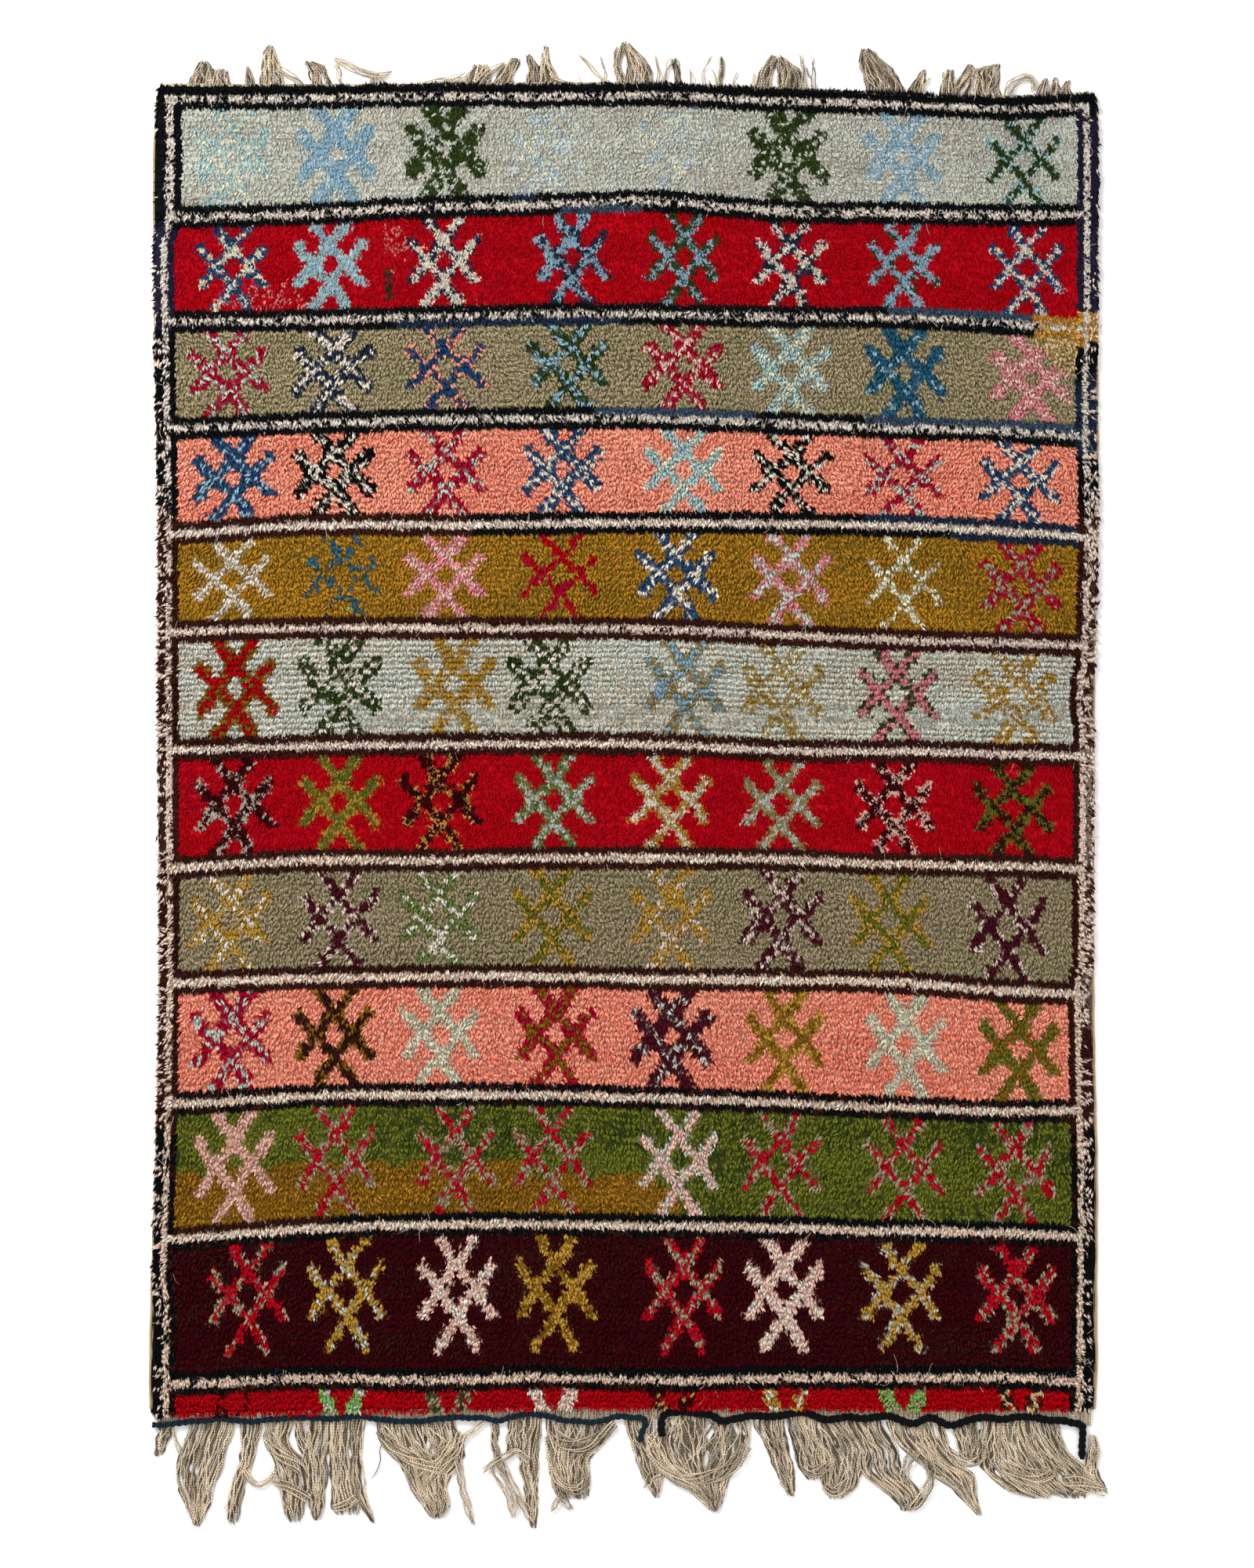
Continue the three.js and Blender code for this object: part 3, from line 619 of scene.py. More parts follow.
Y = Yarn  # short name for the tables
BANDS: tuple[Band, ...] = (
    Band("grey 1", Y.GREY_BLUE, Y.GREY, 0.3, stars(
        (-632, -466, -291, -131, 78, 256, 438, 632),
        (Y.AQUA, Y.PALE_YELLOW, 0.4, 1.3, False, 0.8), (Y.SKY, Y.PALE_BLUE, 0.08, 1.3),
        (Y.DARK_GREEN, Y.GREY_BLUE, 0.15, 1.42), (Y.PALE_BLUE, Y.PALE_YELLOW, 0.35, 1.2, False, 0.8),
        (Y.PALE_BLUE, Y.PALE_YELLOW, 0.35, 1.1, False, 0.7), (Y.DARK_GREEN, Y.GREY_BLUE, 0.15, 1.35),
        (Y.SKY, Y.PALE_BLUE, 0.5, 1.2), (Y.AQUA, Y.DARK_GREEN, 1.5)),
        lean=47, depth=0.22, rows_show=0.35, ground_z=10.0, spread=0.95, tone=0.88, star_tone=0.82),
    Band("red 2", Y.RED, Y.CRIMSON, 0.3, stars(
        (-631, -476, -294, -90, 89, 258, 440, 636),
        (Y.ROYAL, Y.PALE_YELLOW, 0.36, 0.98), (Y.AQUA, Y.SKY, 0.3, 1.1),
        (Y.IVORY, Y.NAVY, 0.46, 1.08, True), (Y.SKY, Y.NAVY, 0.6, 1.05, True), (Y.DARK_GREEN, Y.SKY, 0.6),
        (Y.IVORY, Y.NAVY, 0.72, 1.02, True), (Y.SKY, Y.DARK_GREEN, 0.26, 0.9, True),
        (Y.ROYAL, Y.IVORY, 0.5, 0.95)),
        lean=38, depth=0.12, rows_show=0.15, ground_z=12.0, spread=0.9, tone=0.74, star_tone=0.72),
    Band("taupe 3", Y.TAUPE, Y.SAGE, 0.45, stars(
        (-638, -470, -291, -95, 89, 259, 442, 645),
        (Y.RASPBERRY, Y.GREY_BLUE), (Y.NAVY, Y.IVORY, 0.46, 1.22), (Y.ROYAL, Y.SALMON, 0.5, 1.0, True),
        (Y.DARK_GREEN, Y.SKY, 0.45, 1.1), (Y.RASPBERRY, Y.PALE_PINK, 0.35, 1.1),
        (Y.AQUA, Y.PALE_YELLOW, 0.4), (Y.TEAL, Y.SKY, 0.16, 1.1), (Y.ROSE, Y.PALE_PINK, 0.5, 1.2)),
        lean=50, star_tone=0.88),
    Band("salmon 4", Y.SALMON, Y.CORAL, 0.25, stars(
        (-629, -468, -291, -104, 89, 260, 440, 626),
        (Y.ROYAL, Y.SKY, 0.34, 1.18), (Y.BLACK, Y.IVORY, 0.28, 1.25), (Y.RASPBERRY, Y.GREY_BLUE, 0.34),
        (Y.ROYAL, Y.IVORY, 0.42, 1.08), (Y.AQUA, Y.PALE_YELLOW, 0.4, 0.95, True),
        (Y.BLACK, Y.IVORY, 0.32, 0.97), (Y.RASPBERRY, Y.GREY_BLUE, 0.35, 0.95), (Y.ROYAL, Y.IVORY)),
        lean=52, depth=0.42, star_tone=0.88),
    Band("mustard 5", Y.MUSTARD, Y.OLIVE_BROWN, 0.33, stars(
        (-631, -454, -292, -106, 78, 259, 441, 628),
        (Y.SAND_GREY, Y.IVORY, 0.4, 0.85, False, 0.95), (Y.TEAL, Y.OLIVE_BROWN, 0.35, 0.75, False, 0.75),
        (Y.ROSE, Y.PALE_PINK, 0.5), (Y.RASPBERRY, Y.RED, 0.3, 0.75, False, 0.85),
        (Y.ROYAL, Y.IVORY, 0.42, 1.08), (Y.ROSE, Y.GREY_BLUE, 0.45, 0.95),
        (Y.PALE_YELLOW, Y.SAND_GREY, 0.3, 0.5, False, 0.9), (Y.RASPBERRY, Y.TAUPE, 0.45, 1.1)),
        lean=57, depth=0.58, star_tone=0.94),
    Band("grey 6", Y.GREY_BLUE, Y.SAND_GREY, 0.2, stars(
        (-625, -460, -276, -125, 92, 246, 430, 620),
        (Y.BRONZE, Y.RED, 0.8, 1.28), (Y.DARK_GREEN, Y.IVORY, 0.36, 1.2), (Y.OCHRE, Y.SAND_GREY, 0.2, 1.1),
        (Y.DARK_GREEN, Y.IVORY, 0.35, 1.32), (Y.SKY, Y.CAMEL, 0.95, 1.05, True),
        (Y.GOLD, Y.PALE_YELLOW, 0.45, 1.1), (Y.ROSE, Y.DARK_GREEN, 0.45, 1.0, True),
        (Y.OCHRE, Y.IVORY, 0.42, 1.1)),
        lean=48, depth=0.25, rows_show=0.8, star_tone=0.84),
    Band("red 7", Y.RED, Y.CRIMSON, 0.3, stars(
        (-628, -459, -299, -118, 68, 246, 426, 614),
        (Y.MAROON, Y.GREY, 0.45, 1.0, True), (Y.OLIVE, Y.OCHRE, 0.5, 0.95, True),
        (Y.MAROON, Y.ORANGE, 0.3, 0.95, True), (Y.GREEN, Y.GREY_BLUE, 0.5, 0.95),
        (Y.OCHRE, Y.IVORY, 0.55, 0.95), (Y.CAMEL, Y.GREY_BLUE, 0.45, 0.9),
        (Y.MAROON, Y.PALE_PINK, 0.45, 0.95, True), (Y.BROWN_BLACK, Y.OLIVE, 0.9, 1.0, True)),
        lean=36, depth=0.12, rows_show=0.15, ground_z=12.0, tone=0.77, star_tone=0.72),
    Band("taupe 8", Y.TAUPE, Y.SAGE, 0.35, stars(
        (-634, -461, -302, -120, 69, 246, 418, 606),
        (Y.OCHRE, Y.IVORY, 0.3), (Y.WINE, Y.CREAM, 0.4, 0.98, True), (Y.GREEN, Y.IVORY, 0.34),
        (Y.OCHRE, Y.OLIVE, 0.55, 0.95), (Y.OCHRE, Y.CREAM, 0.24), (Y.WINE, Y.CREAM, 0.34, 1.08),
        (Y.OCHRE, Y.OLIVE, 0.45, 0.95), (Y.WINE, Y.CREAM, 0.3, 0.88, True)),
        lean=50, tone=0.93, star_tone=0.9),
    Band("salmon 9", Y.SALMON, Y.CORAL, 0.4, stars(
        (-632, -468, -301, -114, 69, 250, 444, 624),
        (Y.RASPBERRY, Y.GREY_BLUE, 0.28, 1.12), (Y.BROWN_BLACK, Y.BRONZE, 0.5, 1.0, True),
        (Y.SAND_GREY, Y.PALE_YELLOW, 0.5), (Y.RASPBERRY, Y.BRONZE, 0.4, 1.1),
        (Y.WINE, Y.GREY_BLUE, 0.15, 1.27), (Y.OCHRE, Y.BRONZE, 0.4, 0.95),
        (Y.SAND_GREY, Y.PALE_YELLOW, 0.5), (Y.OLIVE, Y.BRONZE)),
        lean=55, depth=0.42, tone=1.04, star_tone=0.92),
    Band("olive 10", Y.OLIVE, Y.DARK_GREEN, 0.25, stars(
        (-628, -466, -275, -120, 82, 244, 441, 618),
        (Y.BLUSH, Y.PALE_PINK, 0.3), (Y.TAUPE, Y.CRIMSON, 0.7, 0.9), (Y.TAUPE, Y.CRIMSON, 0.55, 0.9),
        (Y.TAUPE, Y.CRIMSON, 0.6, 0.85), (Y.PALE_PINK, Y.GREY_BLUE, 0.4, 0.9, True),
        (Y.TAUPE, Y.CRIMSON, 0.65, 0.85), (Y.TAUPE, Y.CRIMSON, 0.6, 0.85),
        (Y.TAUPE, Y.CRIMSON, 0.55, 0.95)),
        lean=57, depth=0.6),
    Band("maroon 11", Y.MAROON, Y.BROWN_BLACK, 0.15, stars(
        (-605, -448, -272, -115, 89, 250, 436, 620),
        (Y.CRIMSON, Y.TAUPE, 0.55, 0.85, True), (Y.OCHRE, Y.GREY_BLUE, 0.22, 0.8),
        (Y.PALE_PINK, Y.IVORY, 0.35, 0.85), (Y.OCHRE, Y.BRONZE, 0.35, 0.85),
        (Y.CRIMSON, Y.TAUPE, 0.5, 0.85), (Y.PALE_PINK, Y.IVORY, 0.35), (Y.OCHRE, Y.GREY, 0.35, 0.88, True),
        (Y.CRIMSON, Y.TAUPE, 0.55, 1.0, True)),
        rows=19, lean=50, depth=0.4, rows_show=0.15, star_tone=1.05),
    Band("red 12", Y.SCARLET, Y.RED, 0.3, stars(
        (-631, -456, -286, -119, 70, 252, 441, 628),
        (Y.MAROON, Y.RED, 0.35, 1.0, False, 0.7), (Y.LIME, Y.GREY_BLUE, 0.4),
        (Y.TAUPE, Y.DARK_GREEN, 0.5, 1.0, False, 0.9), (Y.IVORY, Y.PALE_PINK, 0.4),
        (Y.MAROON, Y.GOLD, 0.2, 1.0, False, 0.8), (Y.OCHRE, Y.IVORY, 0.4, 1.0, False, 0.9),
        (Y.LIME, Y.TAUPE, 0.4), (Y.BROWN_BLACK, Y.TAN, 0.45, 1.0, False, 0.9)),
        rows=4, lean=46, depth=0.2, tone=0.94),
)


@dataclass(frozen=True)
class LinePatch:
    """A stretch of a dark line that is knotted in another yarn."""

    line: int
    above: bool
    start: float
    end: float
    yarn: Yarn


LINE_YARNS: tuple[Yarn, ...] = (
    Y.BLACK, Y.BLACK, Y.BLACK, Y.BLACK, Y.BLACK, Y.BROWN_BLACK,
    Y.BROWN_BLACK, Y.BROWN_BLACK, Y.BROWN_BLACK, Y.BLACK, Y.BLACK, Y.BLACK,
)
# Share of dark strands that break each cream line.
LINE_BREAKS: Numbers = (0.37, 0.34, 0.32, 0.28, 0.0, 0.11, 0.0, 0.0, 0.0, 0.0, 0.0, 0.14)
LINE_PATCHES: tuple[LinePatch, ...] = (
    LinePatch(1, True, -190, -150, Y.NAVY),
    LinePatch(1, False, -101, 24, Y.SLATE),
    LinePatch(2, False, -376, -1, Y.NAVY),
    LinePatch(2, True, 420, 655, Y.SLATE),
    LinePatch(2, True, 655, 760, Y.AMBER),
    LinePatch(2, False, 655, 760, Y.AMBER),
    LinePatch(3, True, -51, 199, Y.SLATE),
    LinePatch(3, True, 374, 760, Y.SLATE),
    LinePatch(4, True, -760, -260, Y.BROWN_BLACK),
    LinePatch(4, False, -760, -260, Y.BROWN_BLACK),
    LinePatch(4, True, 380, 760, Y.NAVY),
    LinePatch(4, False, 520, 760, Y.NAVY),
    LinePatch(9, True, -120, 200, Y.BLACK),
    LinePatch(9, False, 300, 520, Y.BLACK),
    LinePatch(10, True, -760, -480, Y.BROWN_BLACK),
)


# Places where the red pile is worn to its pink roots: middle across and down, half width and half height.
WORN_SPOTS: Table = (
    (-574, 346, 52, 26), (-371, 262, 26, 44), (-520, 362, 40, 14), (-640, 352, 22, 12),
)


@dataclass(frozen=True)
class Cloth:
    """Outline and lines of the cloth."""

    shift_x: float = 5.86  # the part's frame is centred on the whole footprint, fringes included
    far_y: float = 1118.04
    side_down: Numbers = (4, 74, 261, 511, 699, 949, 1136, 1511, 1761, 1949, 2074, 2139)
    left_x: Numbers = (-751, -756, -758, -754, -751, -751, -750, -750, -756, -762, -764, -763)
    right_x: Numbers = (749, 751, 751, 751, 752, 746, 745, 745, 750, 749, 749, 745)
    edge_x: Numbers = (-732, -389, -76, 249, 549, 736)
    far_down: Numbers = (4, 5, 2, 10, 25, 18)
    near_down: Numbers = (2134, 2128, 2124, 2126, 2129, 2128)
    line_x: Numbers = (-701, -514, -326, -139, 49, 236, 424, 611, 736)
    lines: Table = (
        (30, 30, 26, 27, 25, 34, 39, 47, 41),
        (220, 215, 205, 200, 195, 210, 214, 217, 215),
        (386, 384, 379, 375, 375, 379, 380, 390, 400),
        (557, 549, 544, 541, 541, 549, 556, 562, 570),
        (724, 711, 711, 709, 707, 709, 712, 721, 730),
        (881, 875, 875, 876, 877, 886, 894, 899, 904),
        (1069, 1064, 1061, 1060, 1061, 1070, 1072, 1076, 1079),
        (1257, 1246, 1246, 1242, 1242, 1244, 1252, 1255, 1259),
        (1441, 1434, 1431, 1431, 1435, 1437, 1440, 1454, 1460),
        (1634, 1622, 1619, 1620, 1625, 1631, 1640, 1646, 1643),
        (1849, 1834, 1827, 1826, 1829, 1832, 1837, 1841, 1847),
        (2081, 2072, 2075, 2071, 2075, 2071, 2071, 2071, 2077),
    )
    bare_down: Numbers = (
        60, 90, 215, 240, 410, 430, 570, 590, 910, 930, 990, 1010, 1390, 1410, 1900, 1940,
    )
    left_bare: Numbers = (0, 4.5, 4.5, 0, 0, 0, 0, 0, 0, 0, 0, 0, 0, 0, 0, 8)
    right_bare: Numbers = (0, 0, 0, 0, 0, 3, 3, 0, 0, 6, 6, 1, 1, 8, 8, 9.5)
    corners: Numbers = (20, 24, 10, 14)  # radii: far left, far right, near left, near right
    corner_x: float = 700.0  # where the end edges run level into the corners
    crease_down: float = 1022
    crease_from: float = -470
    crease_to: float = 700

    def left(self, down: Array) -> Array:
        """X of the left selvedge."""
        return smooth_through(down, self.side_down, self.left_x)

    def right(self, down: Array) -> Array:
        """X of the right selvedge."""
        return smooth_through(down, self.side_down, self.right_x)

    def far(self, x: Array) -> Array:
        """Distance down of the cloth's far edge."""
        return smooth_through(x, self.edge_x, self.far_down)

    def near(self, x: Array) -> Array:
        """Distance down of the cloth's near edge."""
        return smooth_through(x, self.edge_x, self.near_down)

    def line(self, number: int, x: Array) -> Array:
        """Distance down of the middle of a cream line."""
        return smooth_through(x, self.line_x, self.lines[number])

    def bare(self, down: Array, right: bool) -> Array:
        """Width of the selvedge that the pile leaves bare on one side."""
        return np.interp(down, self.bare_down, self.right_bare if right else self.left_bare)

    def rounded(self, x: Array, down: Array, inset: float = 0.0) -> tuple[Array, Array]:
        """Draws places outside a rounded corner onto its arc, towards the arc's centre."""
        x, down = np.array(x, float), np.array(down, float)
        for i, radius in enumerate(self.corners):
            is_right, is_near = i % 2 == 1, i >= 2
            edge = np.full(x.shape, self.corner_x if is_right else -self.corner_x)
            cd = (self.near(edge) - radius) if is_near else (self.far(edge) + radius)
            cx = (self.right(cd) - radius) if is_right else (self.left(cd) + radius)
            out_x = (x - cx) * (1 if is_right else -1)
            out_d = (down - cd) * (1 if is_near else -1)
            gap = np.hypot(x - cx, down - cd)
            reach = radius - inset
            pull = np.where((out_x > 0) & (out_d > 0) & (gap > reach), reach / np.maximum(gap, 1), 1)
            x, down = cx + (x - cx) * pull, cd + (down - cd) * pull
        return x, down

    def to_frame(self, x: Array, down: Array, z: Array) -> Array:
        """Joins coordinates into points of the part's frame, in mm."""
        x, down, z = np.broadcast_arrays(x, down, z)
        return np.stack([x + self.shift_x, self.far_y - down, z], axis=-1)

    def crease(self, x: Array, down: Array) -> Array:
        """How much a place lies in the worn crease across the sixth band, from 0 to 1, where the pile lies
        flatter and gets painted shade.

        The crease is two bell curves across a slowly waving line, the far one lower and narrower.
        """
        inside = (x > self.crease_from) & (x < self.crease_to)
        wave = 3 * np.sin(x / 60) + 2 * np.sin(x / 23)
        one = np.exp(-(((down - self.crease_down - wave) / 7) ** 2))
        two = 0.8 * np.exp(-(((down - self.crease_down + 17 - wave) / 5) ** 2))
        return inside * np.maximum(one, two)


@dataclass(frozen=True)
class StarChart:
    """The star as knots: two crosses of strokes side by side, and an open pair at the top and the bottom.

    A stroke is a straight line in knots across and rows down, and a knot belongs to the star when it is
    nearer to a stroke than half its width.
    """

    knot_mm: float = 9.3
    half_width: float = 0.95
    reach: float = 9.0  # how far from its middle a star is looked for, in knots
    strokes: Table = (
        (-3.1, 0.0, 0.0, 4.2), (3.1, 0.0, 0.0, 4.2),
        (-6.0, 4.2, -3.2, 7.7), (-3.2, 7.7, 0.0, 11.4), (0.0, 4.2, -3.2, 7.7), (-3.2, 7.7, -6.0, 11.4),
        (6.0, 4.2, 3.2, 7.7), (3.2, 7.7, 0.0, 11.4), (0.0, 4.2, 3.2, 7.7), (3.2, 7.7, 6.0, 11.4),
        (0.0, 11.4, -3.2, 16.0), (0.0, 11.4, 3.2, 16.0),
    )

    def distance(self, across: Array, down: Array) -> Array:
        """Distance in knots from each place to the nearest stroke."""
        best = np.full(across.shape, self.reach)
        for x0, y0, x1, y1 in self.strokes:
            dx, dy = x1 - x0, y1 - y0
            t = np.clip(((across - x0) * dx + (down - y0) * dy) / (dx * dx + dy * dy), 0, 1)
            best = np.minimum(best, np.hypot(across - x0 - t * dx, down - y0 - t * dy))
        return best


@dataclass
class Knots:
    """Every knot of the cloth as flat arrays."""

    x: Array
    down: Array
    wide: Array
    tall: Array
    band: Array
    place: Array  # numbers of Place
    main: Array
    second: Array
    share: Array  # of strands in the second yarn
    star: Array  # whether it belongs to a star
    worn: Array
    grain: Array  # slow change of shade along the rows

    def of_band(self, name: str) -> Array:
        """Reads one number of the band that each knot lies in."""
        return np.array([getattr(band, name) for band in BANDS])[self.band]

    def tone(self) -> Array:
        """Lightness of every knot: its band's ground or its band's stars, and plain along the borders."""
        tone = np.where(self.star, self.of_band("star_tone"), self.of_band("tone"))
        return np.where(self.place == Place.FIELD, tone, 1.0)


@dataclass
class Grid:
    """Where every knot lies and what it belongs to, in arrays of rows by columns."""

    x: Array
    down: Array
    wide: Array
    tall: Array
    row: Array  # numbers of Row
    column: Array  # numbers of Column
    band: Array
    index: Array  # row within the band

    @property
    def in_band(self) -> Array:
        """Whether a knot lies in a band, between the side borders."""
        return (self.row == Row.FIELD) & (self.column == Column.FIELD)

    @property
    def place(self) -> Array:
        """What part of the cloth each knot helps to make."""
        inside = np.where(self.row != Row.FIELD, Place.LINE, Place.FIELD)
        side = np.where(self.column == Column.OUTER, Place.OUTER, Place.SIDE)
        return np.where(self.column == Column.FIELD, inside, side)


@dataclass
class Dye:
    """The yarns of every knot of a grid, changed place by place while the plan is worked out."""

    main: Array
    second: Array
    share: Array
    star: Array
    worn: Array

    def put(self, where: Any, main: Yarn, second: Yarn) -> None:
        """Gives some knots their two yarns."""
        self.main[where], self.second[where] = INDEX[main], INDEX[second]


@dataclass
class KnotPlan:
    """Works out where each knot lies and which two yarns it mixes."""

    cloth: Cloth
    chart: StarChart
    field_columns: int = 236
    border_at: Numbers = (2.4, 7.0, 11.7, 16.4, 21.2, 26.2, 31.2)
    border_kind: tuple[Column, ...] = (Column.OUTER,) * 3 + (Column.CREAM,) * 2 + (Column.INNER,) * 2
    border_wide: Numbers = (4.7, 4.7, 4.8, 4.8, 4.9, 5.0, 5.0)
    border_in: float = 33.7
    wide_left: float = 1.24  # the left border is wider beside the first band
    wide_down: Table = ((20, 40, 190, 240), (0, 1, 1, 0))  # how much of that, by the distance down
    edge_row: Pair = (15.4, 5.0)  # distance above the first line and height of a row
    first_row: Pair = (10.4, 9.0)
    dark_above: Pair = (11.9, 13.0)
    dark_below: Pair = (11.6, 12.0)
    line_top: float = 19.4
    line_foot: float = 18.4
    bare: Pair = (-1.5, 3.5)  # gap between the last row and the near edge, left and right
    stray: float = 0.8  # how far knots stand off their places
    seed: int = 11
    # Share of cream strands in the outer border and of dark ones in the cream border, by the distance down.
    left_teeth: Table = (
        (200, 260, 400, 560, 700, 1260, 1600, 1800),
        (0.03, 0.2, 0.12, 0.22, 0.38, 0.44, 0.4, 0.22),
    )
    right_teeth: Table = ((60, 240, 400, 700, 1240, 1650, 1900), (0.06, 0.1, 0.28, 0.5, 0.6, 0.45, 0.25))
    left_gaps: Table = ((0, 240, 560, 700, 1240, 1650), (0.35, 0.3, 0.3, 0.35, 0.15, 0.2))
    right_gaps: Table = ((0, 400, 1240, 1650), (0.18, 0.26, 0.1, 0.1))

    def rows(self) -> list[tuple[Row, int, int]]:
        """Lists the rows from the far end: kind, line or band number, and row within the band."""
        listed = [(Row.EDGE, 0, 0)]
        for number, band in enumerate(BANDS):
            listed += [(Row.DARK_ABOVE, number, 0), (Row.CREAM, number, 0), (Row.DARK_BELOW, number, 0)]
            listed += [(Row.FIELD, number, i) for i in range(band.rows)]
        return listed

    def row_down(self, kind: Row, number: int, index: int, x: Array) -> tuple[Array, Array]:
        """Distance down and height of one row of knots at each x."""
        line = self.cloth.line(number, x)
        wider = 0.9 if number >= 7 else 0.0  # the later cream lines are taller and push the dark ones apart
        if kind is Row.CREAM:
            return line, np.full(x.shape, 8.0 if number < 4 else 10.5 + 2.5 * wider)
        if kind is Row.EDGE:
            return line - self.edge_row[0], np.full(x.shape, self.edge_row[1])
        if kind is Row.DARK_ABOVE and number == 0:
            return line - self.first_row[0], np.full(x.shape, self.first_row[1])
        if kind is Row.DARK_ABOVE:
            return line - self.dark_above[0] - wider, np.full(x.shape, self.dark_above[1] - wider)
        if kind is Row.DARK_BELOW:
            return line + self.dark_below[0] + wider, np.full(x.shape, self.dark_below[1] - wider)
        last = number + 1 >= len(BANDS)
        start = line + self.line_foot
        bare = np.interp(x, (-736, 736), self.bare)
        end = self.cloth.near(x) - bare if last else self.cloth.line(number + 1, x) - self.line_top
        step = (end - start) / BANDS[number].rows
        return start + (index + 0.5) * step, step

    def lay_out(self) -> Grid:
        """Lays out all knots: columns share the width of each row, and rows follow the cloth's lines."""
        rows = self.rows()
        row, band, index = (np.array(numbers)[:, None] for numbers in zip(*rows, strict=True))
        middle = np.array([float(self.row_down(k, n, i, np.zeros(1))[0][0]) for k, n, i in rows])[:, None]
        left = self.cloth.left(middle) + self.cloth.bare(middle, False)
        right = self.cloth.right(middle) - self.cloth.bare(middle, True)
        at, count = np.array(self.border_at), self.field_columns
        grow = 1 + (self.wide_left - 1) * np.interp(middle, *self.wide_down)
        inner = np.linspace(0, 1, count, endpoint=False) + 0.5 / count
        start, end = left + self.border_in * grow, right - self.border_in
        x = np.concatenate([left + at * grow, start + (end - start) * inner, right - at[::-1]], axis=1)
        field_wide = np.broadcast_to((end - start) / count, (len(rows), count))
        side = np.broadcast_to(np.array(self.border_wide), (len(rows), len(at)))
        wide = np.concatenate([side * grow, field_wide, side[:, ::-1]], axis=1)
        column = np.array(self.border_kind + (Column.FIELD,) * count + self.border_kind[::-1])[None, :]
        down, tall = np.empty(x.shape), np.empty(x.shape)
        for r, (kind, number, i) in enumerate(rows):
            down[r], tall[r] = self.row_down(kind, number, i, x[r])
        return Grid(x, down, wide, tall, *(np.broadcast_to(a, x.shape) for a in (row, column, band, index)))

    def build(self) -> Knots:
        """Lays out all knots, chooses their yarns, and lets them stand a little off their places."""
        grid = self.lay_out()
        dye = self.choose(grid)
        grain = soft_noise(grid.x, grid.down * 6, 90, self.seed + 5)
        rng = np.random.default_rng(self.seed + 6)
        x = grid.x + rng.normal(0, self.stray, grid.x.shape)
        down = grid.down + rng.normal(0, self.stray, x.shape)
        down = down + 1.6 * soft_noise(x, grid.down * 4, 36, self.seed + 7)
        x, down = self.cloth.rounded(x, down, 1.0)
        place = (x, down, grid.wide, grid.tall, grid.band, grid.place)
        yarns = (dye.main, dye.second, dye.share, dye.star, dye.worn, grain)
        return Knots(*(a.reshape(-1) for a in place + yarns))

    def choose(self, grid: Grid) -> Dye:
        """Chooses every knot's yarns: first its band's ground, then all that lies over it."""
        rng = np.random.default_rng(self.seed)
        main = np.array([INDEX[b.ground] for b in BANDS])[grid.band]
        second = np.array([INDEX[b.flecks] for b in BANDS])[grid.band]
        share = np.array([b.share for b in BANDS])[grid.band]
        share = share + 0.25 * soft_noise(grid.x, grid.down * 2.5, 120, self.seed + 1)
        dye = Dye(main, second, share, np.zeros(share.shape, bool), np.zeros(share.shape))
        self.finish_in_mustard(grid, dye)
        self.knot_stars(grid, dye, rng)
        self.knot_borders(grid, dye, rng)
        self.repair(grid, dye)
        self.wear(grid, dye, rng)
        return dye

    def finish_in_mustard(self, grid: Grid, dye: Dye) -> None:
        """Ends the olive band in mustard yarn at its lower left, from a row that steps down to the right."""
        start = np.where(grid.x < -165, 8, np.where(grid.x < 45, 10, 12))
        start = start + (soft_noise(grid.x, grid.down, 26, self.seed + 2) > 0.3)
        dye.put(grid.in_band & (grid.band == 9) & (grid.x < 84) & (grid.index >= start), Y.BRONZE, Y.MUSTARD)

    def knot_stars(self, grid: Grid, dye: Dye, rng: np.random.Generator) -> None:
        """Knots the stars by the chart, with a little irregularity in their strokes.

        The second yarn comes by chance: often in every other knot of the strokes' cores, or of their rims
        where the star is edged, and seldom elsewhere.
        """
        in_band, chart = grid.in_band, self.chart
        for number, band in enumerate(BANDS):
            squeeze = 0.5 if number + 1 == len(BANDS) else 1.0  # the last band has only the stars' tops
            for star in band.stars:
                near = in_band & (grid.band == number)
                near &= np.abs(grid.x - star.x) < chart.reach * chart.knot_mm
                row = grid.index[near]
                sway = 0.35 * soft_noise(row * 1.0, row * 0.0 + star.x, 2.2, self.seed + 20)
                across = (grid.x[near] - star.x) / (chart.knot_mm * band.spread) + sway
                gap = chart.distance(across, squeeze * (row + 0.5))
                half = chart.half_width * star.weight
                inside = gap < half + 0.09 * rng.standard_normal(gap.shape)
                inside &= rng.random(gap.shape) <= star.fill
                at = tuple(a[inside] for a in np.nonzero(near))
                dye.put(at, star.main, star.second)
                dye.star[at] = True
                core = gap[inside] < (0.42 if star.edged else 0.58) * half
                skipped = (grid.index[at] + at[1] // 2) % 2 == 0
                chance = np.where(core != star.edged, np.where(skipped, 0.5, 2.6), 0.18) * star.share
                dye.share[at] = rng.random(core.shape) < chance

    def dark_of_side(self, grid: Grid) -> Array:
        """Yarn of the dark side borders, which changes several times down the cloth."""
        right = grid.x > 0
        down = grid.down + 14 * soft_noise(grid.x * 3, grid.down, 30, self.seed + 9)
        yarn = np.full(down.shape, INDEX[Y.BLACK])
        yarn[np.where(right, (down > 49) & (down < 374), (down > 236) & (down < 399))] = INDEX[Y.PURPLE_NAVY]
        yarn[right & (down > 470) & (down < 600)] = INDEX[Y.NAVY]
        yarn[right & (grid.down > 370) & (grid.down < 420)] = INDEX[Y.AMBER]
        yarn[(down > 690) & (down < 1680)] = INDEX[Y.BROWN_BLACK]
        return yarn

